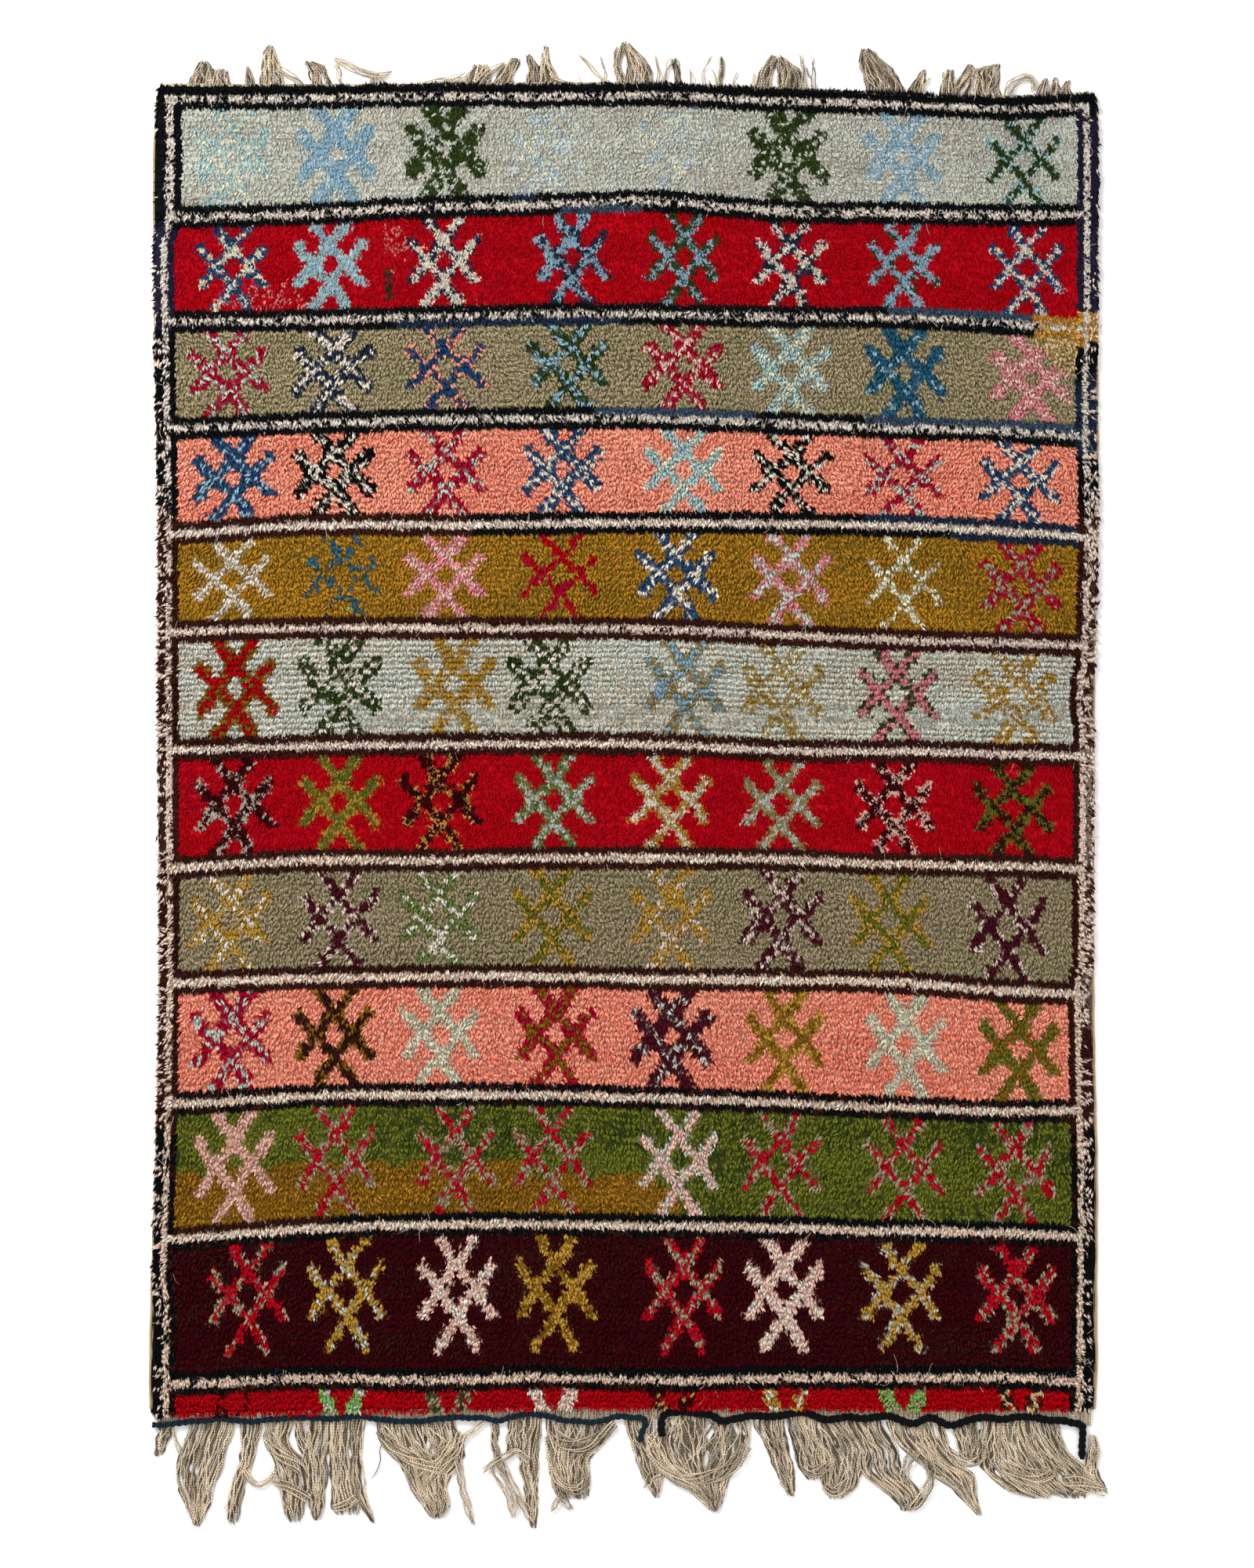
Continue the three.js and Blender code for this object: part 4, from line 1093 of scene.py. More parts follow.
    def dark_of_line(self, grid: Grid) -> Array:
        """Yarn of the dark lines across, with their patches of other yarn."""
        yarn = np.array([INDEX[y] for y in LINE_YARNS])[grid.band]
        x = grid.x + 10 * soft_noise(grid.x, grid.down, 12, self.seed + 3)
        for patch in LINE_PATCHES:
            row = Row.DARK_ABOVE if patch.above else Row.DARK_BELOW
            hit = (grid.band == patch.line) & (grid.row == row) & (x > patch.start) & (x < patch.end)
            yarn[hit] = INDEX[patch.yarn]
        return yarn

    def knot_borders(self, grid: Grid, dye: Dye, rng: np.random.Generator) -> None:
        """Knots the borders, whose strands mix cream and dark, more so at the sides and the first lines."""
        row, column, band = grid.row, grid.column, grid.band
        below = (row != Row.EDGE) & ~((row == Row.DARK_ABOVE) & (band == 0))
        cream_row = (row == Row.CREAM) & (column != Column.OUTER)
        cream_side = (column == Column.CREAM) & below
        outer = (column == Column.OUTER) & below
        is_cream = cream_side | cream_row
        is_dark = ~is_cream & ~grid.in_band
        dark = np.where(column == Column.FIELD, self.dark_of_line(grid), self.dark_of_side(grid))
        teeth, gaps = (
            np.where(grid.x > 0, np.interp(grid.down, *right), np.interp(grid.down, *left))
            for left, right in ((self.left_teeth, self.right_teeth), (self.left_gaps, self.right_gaps))
        )
        dye.main[is_dark] = dye.second[is_dark] = dark[is_dark]
        black_line = (band >= 10) & (row == Row.DARK_ABOVE)
        dye.second[is_dark & (band >= 8) & ~black_line] = INDEX[Y.BROWN_BLACK]
        dye.put(is_cream, Y.CREAM, Y.IVORY)
        dye.share[is_dark | is_cream] = 0.4
        dye.main[is_cream & (band < 4)] = INDEX[Y.ASH_CREAM]
        dye.main[is_cream & (band >= 7)] = INDEX[Y.WARM_CREAM]
        breaks = np.array(LINE_BREAKS)[band]
        broken = is_cream & np.where(cream_row, breaks > 0, cream_side)
        dye.second[broken] = dark[broken]
        dye.share[broken] = np.where(cream_side, gaps, breaks)[broken]
        dye.second[outer] = INDEX[Y.CREAM]
        dye.share[outer] = teeth[outer]
        dye.second[is_dark & ~outer & (rng.random(row.shape) < 0.02)] = INDEX[Y.PURPLE_NAVY]

    def repair(self, grid: Grid, dye: Dye) -> None:
        """Puts in the knots of odd yarn: a tan corner, a brown stitch, a lime knot, a golden patch."""
        x, down, in_band = grid.x, grid.down, grid.in_band
        corner = in_band & (x > 640) & (x < 722) & (down > 402) & (down < 462)
        corner &= down < 402 + 62 * np.clip((x - 630) / 60, 0, 1)
        dye.put(corner, Y.TAN, Y.CAMEL)
        dye.share[corner] = 0.3
        dye.put(in_band & (np.abs(x + 382) < 6) & (down > 305) & (down < 356), Y.COCOA, Y.COCOA)
        dye.put(in_band & (np.hypot(x + 447, down - 845) < 6), Y.LIME, Y.LIME)
        patch = (x > 655) & (down > 372) & (down < 424) & ~in_band & (x < 738)
        cream = (dye.main == INDEX[Y.CREAM]) | (dye.main == INDEX[Y.ASH_CREAM])
        dye.main[patch & ~cream] = INDEX[Y.AMBER]
        dye.second[patch] = INDEX[Y.ORANGE]

    def wear(self, grid: Grid, dye: Dye, rng: np.random.Generator) -> None:
        """Wears spots of the second band: the chance of a worn knot falls off from a spot's middle."""
        for x, down, half_x, half_down in WORN_SPOTS:
            away = np.hypot((grid.x - x) / half_x, (grid.down - down) / half_down)
            hit = rng.random(away.shape) < 0.75 * np.clip(1.25 - away, 0, 1)
            dye.worn += 0.75 * hit * (away < 1.25)
        dye.worn = np.clip(dye.worn, 0, 0.8) * (grid.band == 1) * grid.in_band


# -------------------------------------------------- the pile
@dataclass
class Pile:
    """The pile: each knot's cut ends as slim four-sided strands that rise, bend and lie over."""

    cloth: Cloth
    knots: Knots
    per_knot: float = 2.85
    beside: Numbers = (-0.32, 0.0, 0.32)  # where strands stand across a knot, in knot widths
    stray: float = 0.16  # how far they stand off that
    loose: Pair = (0.42, -0.3)  # how far they stray down, and how rows_show limits it
    root_z: float = 4.5
    length: float = 18.0
    length_spread: float = 1.3
    tilt_spread: float = 9.0
    tilt_reach: Pair = (15.0, 78.0)
    outer_lean: float = 60.0  # degrees that the outer border's pile leans over
    knot_spread: float = 15.0
    heading_spread: float = 9.0
    swirls: Table = ((24, 160), (38, 21))  # degrees and size of the flowing locks
    outward: Table = ((1150, 1250, 1580, 1680), (34, 62, 62, 34))  # distance down, degrees at the sides
    side_mm: float = 70.0  # how far in from a side its pile leans outwards
    flat: tuple[float, float, float] = (14.0, 0.25, 0.45)  # in the crease: more lean, less length, and painted shade that darkens it
    back: float = 0.62  # share of its reach by which a strand's root is drawn back
    bend_at: Pair = (0.6, 0.8)  # share of its reach and of its rise at which a strand bends
    tip_stray: float = 0.4
    squash: float = 0.85
    radius: float = 1.75
    radius_range: Pair = (0.8, 1.15)
    own_shade: float = 0.08
    # Painted shade at the strands' tips that marks the gaps between rows.
    row_gap_shade: float = 0.6
    seed: int = 31
    groups: tuple[tuple[int, int], ...] = ((0, 1), (2, 3), (4, 5), (6, 7), (8, 9), (10, 11))

    def spread(self, pick: Array, rng: Random) -> tuple[Array, Array, Array]:
        """Sets two or three strands on each knot, side by side, with small shifts."""
        knots, places = self.knots, len(self.beside)
        who = np.repeat(pick, places)
        side = np.tile(np.array(self.beside), len(pick))
        kept = rng.random(len(who)) < self.per_knot / places
        who, side = who[kept], side[kept]
        x = knots.x[who] + knots.wide[who] * (side + rng.uniform(-self.stray, self.stray, len(who)))
        loose = self.loose[0] + self.loose[1] * knots.of_band("rows_show")[who]
        return who, x, knots.down[who] + knots.tall[who] * loose * rng.uniform(-1, 1, len(who))

    def heading(self, who: Array, x: Array, down: Array, rng: Random) -> Array:
        """Compass angle of the lean: towards the near end, outwards at the sides, in flowing locks."""
        left = np.clip(1 - (x - self.cloth.left(down)) / self.side_mm, 0, 1)
        right = np.clip(1 - (self.cloth.right(down) - x) / self.side_mm, 0, 1)
        swirls = enumerate(self.swirls)
        swing = sum(turn * soft_noise(x, down, size, self.seed + i) for i, (turn, size) in swirls)
        knot = rng.normal(0, self.knot_spread, len(self.knots.x))[who]
        own = knot + rng.normal(0, self.heading_spread, x.shape)
        return np.radians(-90 + np.interp(down, *self.outward) * (right - left) + swing + own)

    def build_group(self, first: int, last: int, material: Material) -> Piece:
        """Builds the strands of a run of bands as one mesh."""
        rng = np.random.default_rng(self.seed + first)
        pick = np.nonzero((self.knots.band >= first) & (self.knots.band <= last))[0]
        who, x, down = self.spread(pick, rng)
        crease = self.cloth.crease(x, down)
        points = self.strands(who, x, down, crease, rng)
        colour = self.colours(who, x, down, crease, rng)
        base = (np.arange(len(who)) * 4)[:, None, None]
        tri = np.array([[0, 2, 1], [1, 2, 3], [0, 1, 3], [0, 3, 2]])
        tris = (tri[None] + base).reshape(-1, 3)
        maps = {"OFBake": self.bake_map(len(who))}
        shape = Shape(points.reshape(-1, 3), np.zeros((0, 4), int), tris, colour.reshape(-1, 3), maps=maps)
        return make_piece(f"pile_bands_{first + 1}_to_{last + 1}", shape, material)

    def strands(self, who: Array, x: Array, down: Array, crease: Array, rng: Random) -> Array:
        """Shapes the strands: one point for the root, two side by side at the bend, and one for the tip.

        A strand is drawn back over its knot by a share of its reach, so that it lies over its own knot.

        Args:
            who: Each strand's knot.
            x: Where it stands across.
            down: Where it stands down the cloth.
            crease: How much it lies in the worn crease.
            rng: Source of its small differences.

        Returns:
            The strands' points (n, 4, 3).
        """
        n, knots = len(who), self.knots
        more_tilt, less_length, _ = self.flat
        lie = self.heading(who, x, down, rng)
        lean = np.where(knots.place == Place.OUTER, self.outer_lean, knots.of_band("lean"))[who]
        tilt = np.radians(np.clip(rng.normal(lean, self.tilt_spread) + more_tilt * crease, *self.tilt_reach))
        long = rng.normal(self.length, self.length_spread, n) * (1 - less_length * crease)
        long *= 1 + 0.07 * soft_noise(x, down, 70, self.seed + 2)
        reach = (long * np.sin(tilt))[:, None] * np.stack([np.cos(lie), np.sin(lie)], axis=1)
        rise = long * np.cos(tilt) * self.squash
        root = self.cloth.to_frame(x, down, self.root_z)
        root[:, :2] -= self.back * reach
        bend, tip = root.copy(), root.copy()
        bend[:, :2] += self.bend_at[0] * reach + rng.normal(0, self.tip_stray, (n, 2))
        bend[:, 2] += self.bend_at[1] * rise
        tip[:, :2] += reach + rng.normal(0, self.tip_stray, (n, 2))
        tip[:, 2] += rise
        fat = self.radius * rng.uniform(*self.radius_range, n)
        across = unit(np.cross(unit(tip - root), UP)) * fat[:, None]
        return np.stack([root, bend - across, bend + across, tip], axis=1)

    def draw(self, who: Array, x: Array, down: Array, rng: Random) -> Array:
        """A number from 0 to 1 for each strand, that settles which of its knot's two yarns it is.

        It is pure chance in the bands. In a border it follows a soft noise, drawn out along the strands, so
        that they fall into little teeth of one yarn. Ranking the noise makes every number as likely.
        """
        number = rng.random(len(who))
        place = self.knots.place[who]
        lines, sides = place == Place.LINE, place > Place.LINE
        for on, size_x, size_down in ((lines, 5.0, 14.0), (sides, 26.0, 5.5)):
            slanted = down[on] + 0.25 * np.abs(x[on])
            noise = soft_noise(x[on] / size_x, slanted / size_down, 1.0, self.seed + 9)
            noise = noise + 0.25 * rng.standard_normal(noise.shape)
            number[on] = noise.argsort().argsort() / max(len(noise), 1)
        return number

    def colours(self, who: Array, x: Array, down: Array, crease: Array, rng: Random) -> Array:
        """Linear colour of each strand's four corners: its yarn and own tone, with painted shade at the root
        and painted light at the tip.
        """
        knots = self.knots
        use_second = self.draw(who, x, down, rng) < knots.share[who]
        rgb = PALETTE[np.where(use_second, knots.second[who], knots.main[who])] * knots.tone()[who][:, None]
        shade = 1 + self.own_shade * rng.standard_normal(len(who)) + 0.07 * knots.grain[who]
        # Painted shade in the crease.
        shade *= 1 - self.flat[2] * crease
        rgb = rgb * np.clip(shade, 0.45, 1.6)[:, None]
        worn = knots.worn[who] * rng.random(len(who))
        rgb = rgb + (PALETTE[INDEX[Yarn.WORN_PINK]] - rgb) * worn[:, None]
        # Painted shade at the roots, deeper in the stars.
        depth = knots.of_band("depth")[who]
        depth = np.where(knots.star[who], np.maximum(depth, 0.5), depth)
        # Painted shade in the gaps between rows, in patches.
        chink = self.row_gap_shade * knots.of_band("rows_show")[who]
        chink *= soft_noise(x, down * 2, 40, self.seed + 5) > -0.25
        # Painted shade at the root and on one side of the bend, painted light at the tip, less the painted
        # row-gap shade.
        bend, tip = np.ones(len(who)), 1.0 + 0.12 * depth - chink
        tone = np.stack([1 - depth, 0.95 - 0.12 * depth, bend, tip], axis=1)
        return rgb[:, None, :] * tone[:, :, None]

    def bake_map(self, n: int) -> Array:
        """Corner map for the colour bake: a strand's upper and lower sides, side by side in one cell."""
        top = [[[0.33, 0], [0.66, 0.55], [0, 0.55]], [[0, 0.55], [0.66, 0.55], [0.33, 1]]]
        under = [[[0.84, 0], [0.7, 0.5], [0.84, 1]], [[0.84, 0], [0.84, 1], [0.98, 0.5]]]
        return cell_map(n, np.array(top + under).reshape(-1, 2)).reshape(-1, 2)

    def build(self, material: Material) -> list[Piece]:
        """Builds the pile, one piece for each group of bands."""
        return [self.build_group(first, last, material) for first, last in self.groups]


# -------------------------------------------- the foundation
@dataclass
class Foundation:
    """The woven ground under the tufts, seen between them, along the near edge and from the back."""

    cloth: Cloth
    knots: Knots
    columns: int
    edge_z: float = 3.0
    line_z: float = 8.0  # height of the ground under the lines across
    bare: float = 6.0
    bare_far: float = 4.0
    inset: float = 1.5  # how far the rim lies in from the cloth's outline
    bare_tone: float = 0.7
    shade: float = 0.75  # how much the pile above darkens the ground
    seed: int = 8

    def corners(self) -> tuple[Array, Array]:
        """Places of the cells' corners: the means of four knots each, and bare cloth past the end rows."""
        x, down = (a.reshape(-1, self.columns) for a in (self.knots.x, self.knots.down))
        far, near = self.cloth.far(x[:1]) + self.inset, self.cloth.near(x[-1:])
        gx = np.concatenate([x[:1], x[:1], (x[1:] + x[:-1]) / 2, x[-1:], x[-1:]])
        between = (down[1:] + down[:-1]) / 2
        gd = np.concatenate([far, far + self.bare_far, between, near - self.bare, near - 1.0])
        left, right = self.cloth.left(gd[:, :1]) + self.inset, self.cloth.right(gd[:, -1:]) - self.inset
        gx = np.concatenate([left, (gx[:, 1:] + gx[:, :-1]) / 2, right], axis=1)
        gd = np.concatenate([gd[:, :1], (gd[:, 1:] + gd[:, :-1]) / 2, gd[:, -1:]], axis=1)
        return self.cloth.rounded(gx, gd, self.inset)

    def heights(self, shape: tuple[int, ...]) -> Array:
        """Height of the upper face at the cells' corners: low round the rim, each row's ground inside."""
        ground = np.where(self.knots.place == Place.LINE, self.line_z, self.knots.of_band("ground_z"))
        lift = np.full(shape, self.edge_z)
        lift[2:-2, 1:-1] = ground.reshape(-1, self.columns)[:-1, self.columns // 2, None]
        return lift

    def build(self, material: Material) -> Piece:
        """Builds one closed slab whose cells are the knots: two faces and the wall that joins their rims."""
        gx, gd = self.corners()
        r, c = gx.shape
        upper = self.cloth.to_frame(gx, gd, self.heights(gx.shape)).reshape(-1, 3)
        lower = self.cloth.to_frame(gx, gd, 0.0).reshape(-1, 3)
        ids = np.arange(r * c).reshape(r, c)
        cell = (ids[:-1, :-1], ids[:-1, 1:], ids[1:, 1:], ids[1:, :-1])
        face_up = np.stack(cell[::-1], axis=-1).reshape(-1, 4)
        face_down = np.stack(cell, axis=-1).reshape(-1, 4) + r * c
        rim = np.concatenate([ids[-1, :-1], ids[:0:-1, -1], ids[0, :0:-1], ids[:-1, 0]])
        after = np.roll(rim, -1)
        wall = np.stack([rim + r * c, after + r * c, after, rim], axis=1)
        quads = np.concatenate([face_up, face_down, wall])
        shape = Shape(np.concatenate([upper, lower]), quads, np.zeros((0, 3), int))
        shape.corner_colours = self.colours(len(rim))
        shape.maps = {"OFBake": self.bake_map(r, c, len(rim)), "Knot": self.knot_map(len(face_up), len(rim))}
        piece = make_piece("foundation", shape, material)
        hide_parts("rug")
        return piece

    def colours(self, rim: int) -> dict[str, Array]:
        """Colours of every face corner, flat over each knot, with those of its four neighbours above.

        The upper face is shaded by the pile above it, the lower one is not, and the rim is bare warp.
        """
        knots = self.knots
        share = np.where(knots.place > Place.FIELD, 0.2 * (knots.share > 0.5), knots.share)[:, None]
        mix = PALETTE[knots.main] * (1 - share) + PALETTE[knots.second] * share
        mix *= knots.tone()[:, None]
        rng = np.random.default_rng(self.seed)
        mix = mix * (1 + 0.09 * rng.standard_normal((len(mix), 1)) + 0.05 * knots.grain[:, None])
        mix = np.clip(mix, 0, 1).reshape(-1, self.columns, 3)
        warp = PALETTE[INDEX[Yarn.WARP]]
        bare = np.broadcast_to(warp * self.bare_tone, (1, self.columns, 3))
        depth = knots.of_band("depth").reshape(-1, self.columns, 1)
        upper = np.concatenate([bare, mix * (1 - self.shade * depth), bare])
        lower = np.concatenate([bare, mix * 0.85 + warp * 0.08, bare])
        wall = np.broadcast_to(warp * self.bare_tone, (rim, 3))
        padded = np.pad(upper, ((1, 1), (1, 1), (0, 0)), mode="edge")
        sides = {
            "yarn": upper,
            "yarn_left": padded[1:-1, :-2],
            "yarn_right": padded[1:-1, 2:],
            "yarn_near": padded[2:, 1:-1],
            "yarn_far": padded[:-2, 1:-1],
        }
        rest = np.concatenate([lower.reshape(-1, 3), wall])
        faces = {name: np.concatenate([a.reshape(-1, 3), rest]) for name, a in sides.items()}
        return {name: np.repeat(a, 4, axis=0) for name, a in faces.items()}

    def knot_map(self, cells: int, rim: int) -> Array:
        """Corner map of the place within each knot's cell, from 0 to 1 across and from near to far."""
        square = np.array([[0.0, 0.0], [1.0, 0.0], [1.0, 1.0], [0.0, 1.0]])
        turned = square[[3, 2, 1, 0]]
        parts = [np.tile(square, (cells, 1)), np.tile(turned, (cells, 1)), np.tile(square, (rim, 1))]
        return np.concatenate(parts)

    def bake_map(self, r: int, c: int, rim: int) -> Array:
        """Corner map for the colour bake: upper face to the left, lower to the right, wall in a strip."""
        i, j = (a.reshape(-1) for a in np.meshgrid(np.arange(r - 1), np.arange(c - 1), indexing="ij"))
        u, v = lambda k: k / (c - 1), lambda k: 0.02 + 0.92 * k / (r - 1)
        up, low = rectangles(u(j), u(j + 1), v(i + 1), v(i)), rectangles(u(j), u(j + 1), v(i), v(i + 1))
        up[..., 0] = 0.01 + 0.475 * up[..., 0]
        low[..., 0] = 0.515 + 0.475 * low[..., 0]
        k = np.arange(rim) / rim
        wall = rectangles(k, k + 1 / rim, np.full(rim, 0.96), np.full(rim, 0.985))
        wall[..., 0] = 0.01 + 0.98 * wall[..., 0]
        return np.concatenate([part.reshape(-1, 2) for part in (up, low, wall)])


# --------------------------------------------------- fringes
@dataclass(frozen=True)
class Bunch:
    """Warp ends that lie side by side: rows of distance down, left edge and right edge, from root to tip."""

    rows: Table
    crowd: float = 1.9  # yarns to one spacing of its width, in two layers
    short: float = 0.16  # share of its length by which a yarn may stop short
    drift: float = 0.13  # how far yarns wander, as a share of its width
    layer_z: float = 2.0

    def lay(self, rng: Random, steps: int, spacing: float) -> tuple[Array, Array, Array]:
        """Lays the bunch's yarns as x, down and height over the floor, each (yarns, steps).

        A yarn keeps its share of the way from the left edge to the right one, wanders a little, and stops
        short of the tip by its own small share of the length.
        """
        down, left, right = by_column(self.rows)
        wide = float(np.max(right - left))
        n = max(2, int(self.crowd * wide / spacing))
        half = max(1, (n + 1) // 2)
        share = np.clip((np.arange(n) % half + rng.uniform(0.1, 0.9, n)) / half, 0.03, 0.97)
        stop = 1 - self.short * rng.random(n) ** 1.5
        t = np.linspace(0, 1, steps)[None, :]
        d = down[0] + (down[-1] - down[0]) * t * stop[:, None]
        order = np.argsort(down)
        lo, hi = (smooth_through(d, down[order], edge[order]) for edge in (left, right))
        drift = self.drift * rng.standard_normal((n, 1)) * np.sin(math.pi * t + rng.uniform(0, 3, (n, 1)))
        x = lo + (hi - lo) * np.clip(share[:, None] + drift, 0.02, 0.98)
        heap = np.clip(wide / np.maximum(hi - lo, 2.0), 1, 3.2) - 1
        layer = (np.arange(n) >= n // 2).astype(float)[:, None]
        return x, d, 1.25 + self.layer_z * layer + rng.uniform(0, 1.2, (n, 1)) * heap

    def under(self, n: int) -> Array:
        """Tells the yarns of the lower layer, which lie in the others' shade."""
        return (np.arange(n) < n // 2).astype(float)


@dataclass(frozen=True)
class Loose:
    """A lock or single strand along a path: rows of x, distance down and width, and its number of yarns."""

    yarns: int
    rows: Table
    over: float = 2.5  # how high it lies on the bunches
    twist: float = 0.004  # turns in one millimetre

    def lay(self, rng: Random, steps: int, spacing: float) -> tuple[Array, Array, Array]:
        """Lays the lock's yarns as x, down and height, twisting them slowly about the lock's own path."""
        px, pd, pw = by_column(self.rows)
        along = path_length(px, pd)
        n = self.yarns
        at = along[-1] * (np.linspace(0, 1, steps)[None, :] * (1 - 0.1 * rng.random((n, 1))))
        x, d, w = (smooth_through(at, along, v) for v in (px, pd, pw))
        dx, dd = np.gradient(x, axis=1), np.gradient(d, axis=1)
        size = np.maximum(np.hypot(dx, dd), 1e-6)
        phase = 2 * math.pi * (np.arange(n)[:, None] / n + self.twist * at) + rng.uniform(0, 0.8, (n, 1))
        side = 0.45 * w * np.cos(phase) * (n > 1)
        lift = 1.3 + np.minimum(0.25 * w, 2.2) * (1 + np.sin(phase)) * (n > 1) + self.over
        return x - side * dd / size, d + side * dx / size, lift

    def under(self, n: int) -> Array:
        """Tells the yarns of the lower layer: none, as it lies on top."""
        return np.zeros(n)


# Each bunch, and each loose lock with its number of yarns.
NEAR_BUNCHES: tuple[Table, ...] = (
    ((2130, -751, -729), (2151, -748, -730), (2177, -753, -735), (2197, -757, -744)),
    ((2130, -699, -626), (2146, -699, -626), (2177, -709, -637), (2211, -720, -645), (2228, -720, -653),
     (2252, -715, -662), (2279, -704, -670), (2308, -694, -684)),
    ((2130, -618, -583), (2146, -617, -584), (2177, -616, -592), (2211, -620, -601), (2235, -631, -610),
     (2266, -638, -617), (2293, -642, -621), (2307, -636, -625)),
    ((2129, -579, -535), (2142, -577, -535), (2177, -579, -541), (2201, -566, -518), (2228, -558, -511),
     (2252, -557, -510), (2269, -552, -516), (2297, -544, -521), (2301, -540, -525)),
    ((2129, -533, -518), (2153, -532, -515), (2173, -527, -506), (2194, -518, -497), (2228, -513, -491)),
    ((2129, -509, -472), (2142, -509, -473), (2177, -515, -475), (2194, -518, -479), (2228, -515, -480),
     (2266, -509, -485), (2293, -504, -490), (2299, -501, -492)),
    ((2129, -475, -444), (2142, -475, -444), (2177, -476, -447), (2211, -475, -445), (2245, -473, -443),
     (2279, -472, -429), (2290, -465, -432)),
    ((2129, -443, -415), (2142, -443, -419), (2177, -441, -425), (2211, -444, -424), (2238, -446, -419),
     (2266, -434, -417), (2286, -420, -408), (2303, -410, -404)),
    ((2129, -402, -275), (2142, -401, -275), (2177, -395, -261), (2204, -369, -264), (2228, -355, -285),
     (2252, -343, -289), (2279, -324, -286), (2295, -311, -300)),
    ((2126, -217, -207), (2140, -217, -207), (2179, -217, -207), (2200, -214, -201), (2214, -214, -196)),
    ((2126, -190, -158), (2140, -189, -159), (2165, -193, -161), (2193, -196, -163)),
    ((2126, -157, -138), (2140, -157, -138), (2179, -170, -142), (2214, -173, -143), (2249, -164, -145),
     (2284, -161, -145), (2311, -153, -148)),
    ((2126, -130, -17), (2140, -130, -21), (2158, -130, -25), (2179, -129, -41), (2197, -128, -59),
     (2232, -122, -61), (2256, -115, -63), (2265, -105, -66)),
    ((2126, -3, 25), (2144, -3, 23), (2179, 7, 44), (2214, 18, 55), (2242, 32, 54), (2263, 42, 50)),
    ((2126, 27, 199), (2140, 28, 198), (2179, 27, 194), (2207, 44, 180), (2225, 67, 165), (2242, 88, 158),
     (2263, 113, 151), (2285, 135, 143)),
    ((2127, 201, 252), (2139, 201, 250), (2189, 226, 257), (2227, 239, 265), (2260, 257, 263)),
    ((2127, 256, 289), (2139, 256, 288), (2169, 262, 310), (2204, 270, 314), (2227, 281, 312),
     (2235, 289, 304)),
    ((2127, 289, 340), (2139, 288, 341), (2169, 291, 367), (2208, 308, 373), (2234, 310, 368),
     (2254, 314, 356), (2264, 325, 340)),
    ((2127, 340, 407), (2139, 340, 407), (2189, 367, 434), (2227, 376, 444), (2246, 402, 463),
     (2265, 425, 471), (2284, 438, 451)),
    ((2127, 411, 505), (2146, 414, 505), (2189, 444, 517), (2208, 467, 528), (2227, 487, 557),
     (2246, 518, 555), (2265, 535, 557), (2290, 560, 565)),
    ((2131, 518, 567), (2154, 519, 566), (2181, 527, 562), (2208, 534, 562)),
    ((2127, 566, 652), (2143, 566, 651), (2189, 564, 673), (2215, 564, 700), (2238, 589, 713),
     (2257, 620, 734), (2264, 650, 731)),
    ((2127, 650, 690), (2143, 651, 689), (2189, 673, 704), (2219, 696, 736), (2242, 708, 750),
     (2261, 696, 723)),
    ((2164, 739, 747), (2181, 738, 751), (2204, 733, 750), (2227, 728, 751), (2242, 731, 761),
     (2256, 750, 766)),
)
